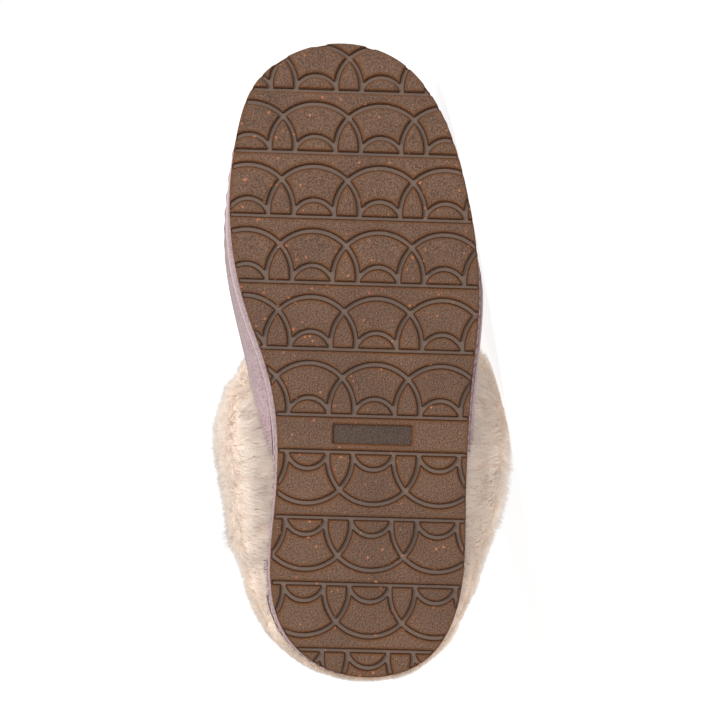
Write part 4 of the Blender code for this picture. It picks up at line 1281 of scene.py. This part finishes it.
def grow_fibres(skin, lays, pile, count, length, seed, upright, lock_size, ground):
    """Slim bent ribbons that stand on a sheet of rings, lean with the lay and gather into locks.

    Gives each ribbon's root, the two sides of its knee and its tip, its shine's way and its tone.
    """
    chance = np.random.default_rng(seed)
    across = (np.roll(skin, -1, axis=1) - np.roll(skin, 1, axis=1)) / 2
    down = np.gradient(skin, axis=0)
    normal = np.cross(down, across)
    area = np.linalg.norm(normal, axis=-1)
    normal /= np.maximum(area, 1e-12)[..., None]
    down /= np.maximum(np.linalg.norm(down, axis=-1), 1e-12)[..., None]
    weight = np.cumsum(area[:-1].ravel())

    def scatter(number):
        cell = np.searchsorted(weight, chance.random(number) * weight[-1])
        row, column = np.divmod(np.clip(cell, 0, len(weight) - 1), skin.shape[1])
        after = (column + 1) % skin.shape[1]
        a, b = chance.random((2, number, 1))
        found = []
        for sheet in (skin, normal, down * lays[:, None, None], pile[..., None]):
            low = sheet[row, column] * (1 - a) + sheet[row, after] * a
            high = sheet[row + 1, column] * (1 - a) + sheet[row + 1, after] * a
            found.append(low * (1 - b) + high * b)
        found[1] /= np.maximum(np.linalg.norm(found[1], axis=1), 1e-9)[:, None]
        return found

    root, out, lay, stand = scatter(count)
    heart, heart_out, heart_lay, _ = scatter(int(weight[-1] / lock_size**2))
    lock_tree = kdtree.KDTree(len(heart))
    for number, spot in enumerate(heart):
        lock_tree.insert(spot, number)
    lock_tree.balance()
    lock = np.array([lock_tree.find(spot)[1] for spot in root])
    lock_sway = chance.normal(0, LOCK_SWAY, heart.shape)
    lock_length = length * chance.uniform(*LOCK_LENGTHS, (len(heart), 1))
    reach = stand * lock_length[lock] * chance.uniform(*FIBRE_LENGTHS, (count, 1))
    way = out * upright + lay * (1 - upright) + lock_sway[lock]
    way = way + chance.normal(0, FIBRE_SWAY, root.shape) + FIBRE_SINK
    way /= np.linalg.norm(way, axis=1)[:, None]
    lock_way = heart_out * upright + heart_lay * (1 - upright) + lock_sway + FIBRE_SINK
    lock_way /= np.linalg.norm(lock_way, axis=1)[:, None]
    free_tip = root + way * reach
    lock_tip = heart[lock] + lock_way[lock] * reach
    pull = chance.uniform(*LOCK_PULL, (count, 1))
    tip = free_tip * (1 - pull) + lock_tip * pull
    knee = root + out * reach * KNEE_OUT + (tip - root) * KNEE_ON
    curl = chance.normal(0, 1, root.shape) * reach * FIBRE_CURL
    width_way = np.cross(tip - root, out + chance.normal(0, WIDTH_SWAY, root.shape))
    width_way /= np.maximum(np.linalg.norm(width_way, axis=1), 1e-9)[:, None]
    bend = root * (1 - KNEE) ** 2 + knee * 2 * KNEE * (1 - KNEE) + tip * KNEE**2 + curl
    half_width = width_way * FIBRE_WIDTH / 2
    points = np.stack([root, bend - half_width, bend + half_width, tip], axis=1)
    points = off_floor(points, ground)
    around_lock = (root - heart[lock]) / lock_size
    shine = out + around_lock * LOCK_SHINE + lay * LAY_SHINE
    shine /= np.linalg.norm(shine, axis=1)[:, None]
    return points, shine, chance.random(count)


def plant_fibres(name, grown, first, last, material):
    """One piece of wool from part of what has grown."""
    points, shine, tone = (values[first:last] for values in grown)
    pattern = np.array([(0, 2, 1), (1, 2, 3)])
    faces = (np.arange(len(points))[:, None, None] * 4 + pattern).reshape(-1, 3)
    wool = new_piece(name, points.reshape(-1, 3), faces, material)
    give_values(wool, "along", np.tile([0, KNEE, KNEE, 1.0], len(points)))
    give_values(wool, "tone", np.repeat(tone, 4))
    wool.data.normals_split_custom_set_from_vertices(np.repeat(shine, 4, axis=0).tolist())
    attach(wool, "root")
    return wool


wool_fibre = bpy.data.materials.new("shearling_fibres")
wool_fibre.use_nodes = True
tree = wool_fibre.node_tree
shader = tree.nodes["Principled BSDF"]
along = kept_value(tree, "along")
tone = kept_value(tree, "tone")
tip_colour = mix_colours(tree, remap(tree, tone, 0.2, 1.0), WOOL_TIP, WOOL_WARM)
# Painted shade deep in the pile: each fibre darkens and warms from its tip down to its root.
wool_colour = mix_colours(tree, remap(tree, along, 0.05, 0.75), WOOL_ROOT_SHADE, tip_colour)
tree.links.new(wool_colour, shader.inputs["Base Color"])
glow = add_node(tree, "ShaderNodeBsdfTranslucent")
tree.links.new(wool_colour, glow.inputs["Color"])
through = add_node(tree, "ShaderNodeMixShader", {0: WOOL_GLOW})
tree.links.new(shader.outputs[0], through.inputs[1])
tree.links.new(glow.outputs[0], through.inputs[2])
tree.links.new(through.outputs[0], tree.nodes["Material Output"].inputs["Surface"])
tree.links.new(remap(tree, along, 0.0, 1.0, 0.95, 0.7), shader.inputs["Roughness"])
# Painted light: the fibres glow faintly in their own colour, standing in for light scattered
# through the wool.
tree.links.new(wool_colour, shader.inputs["Emission Color"])
shader.inputs["Emission Strength"].default_value = WOOL_PAINTED_GLOW
shader.inputs["Specular IOR Level"].default_value = WOOL_SHINE

cuff_fleece = make_fleece("cuff_fleece", CUFF_CURLS)
cuff_turns = np.arange(CUFF_COLUMNS) / CUFF_COLUMNS
body_rings, lays, piles = cuff_rings(cuff_turns)
body_rings = off_floor(laid(body_rings), BODY_FLOOR)
faces = ring_faces(len(body_rings), CUFF_COLUMNS)
cuff_body = new_piece("cuff_wool_body", body_rings.reshape(-1, 3), faces, cuff_fleece)
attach(cuff_body, "root")
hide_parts("fur_cuff")

grown = grow_fibres(body_rings, lays, piles, *CUFF_WOOL)
ends = [CUFF_WOOL[0] * number // WOOL_PIECES for number in range(WOOL_PIECES + 1)]
for number in range(WOOL_PIECES):
    wool = plant_fibres(f"cuff_wool_{number + 1}", grown, *ends[number : number + 2], wool_fibre)
    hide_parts("fur_cuff")

thick = UPPER_WALL + LINING_PILE * LINING_BODY
rings = []
for rise in np.linspace(LINING_TOP, 0.0, LINING_ROWS):
    rings.append(wall_layer(cuff_turns, np.full_like(cuff_turns, rise), -thick)[0])
rings.append(rings[-1] - np.array([0.0, 0.0, LINING_TUCK]))
lining_rings = off_floor(laid(np.array(rings)), thick)
faces = ring_faces(len(lining_rings), CUFF_COLUMNS)
lining = new_piece("fleece_lining", lining_rings.reshape(-1, 3), faces, footbed_fleece)
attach(lining, "root")
pad_top = footbed_rings[len(PAD_EDGE) - 1 :]
for name, sheet, lay, wool_facts in (
    ("lining_wool", lining_rings, 0.6, LINING_WOOL),
    ("footbed_wool", pad_top, 0.2, FOOTBED_WOOL),
):
    lays, piles = np.full(len(sheet), lay), np.ones(sheet.shape[:2])
    grown = grow_fibres(sheet, lays, piles, *wool_facts)
    wool = plant_fibres(name, grown, 0, INNER_FIBRES, wool_fibre)
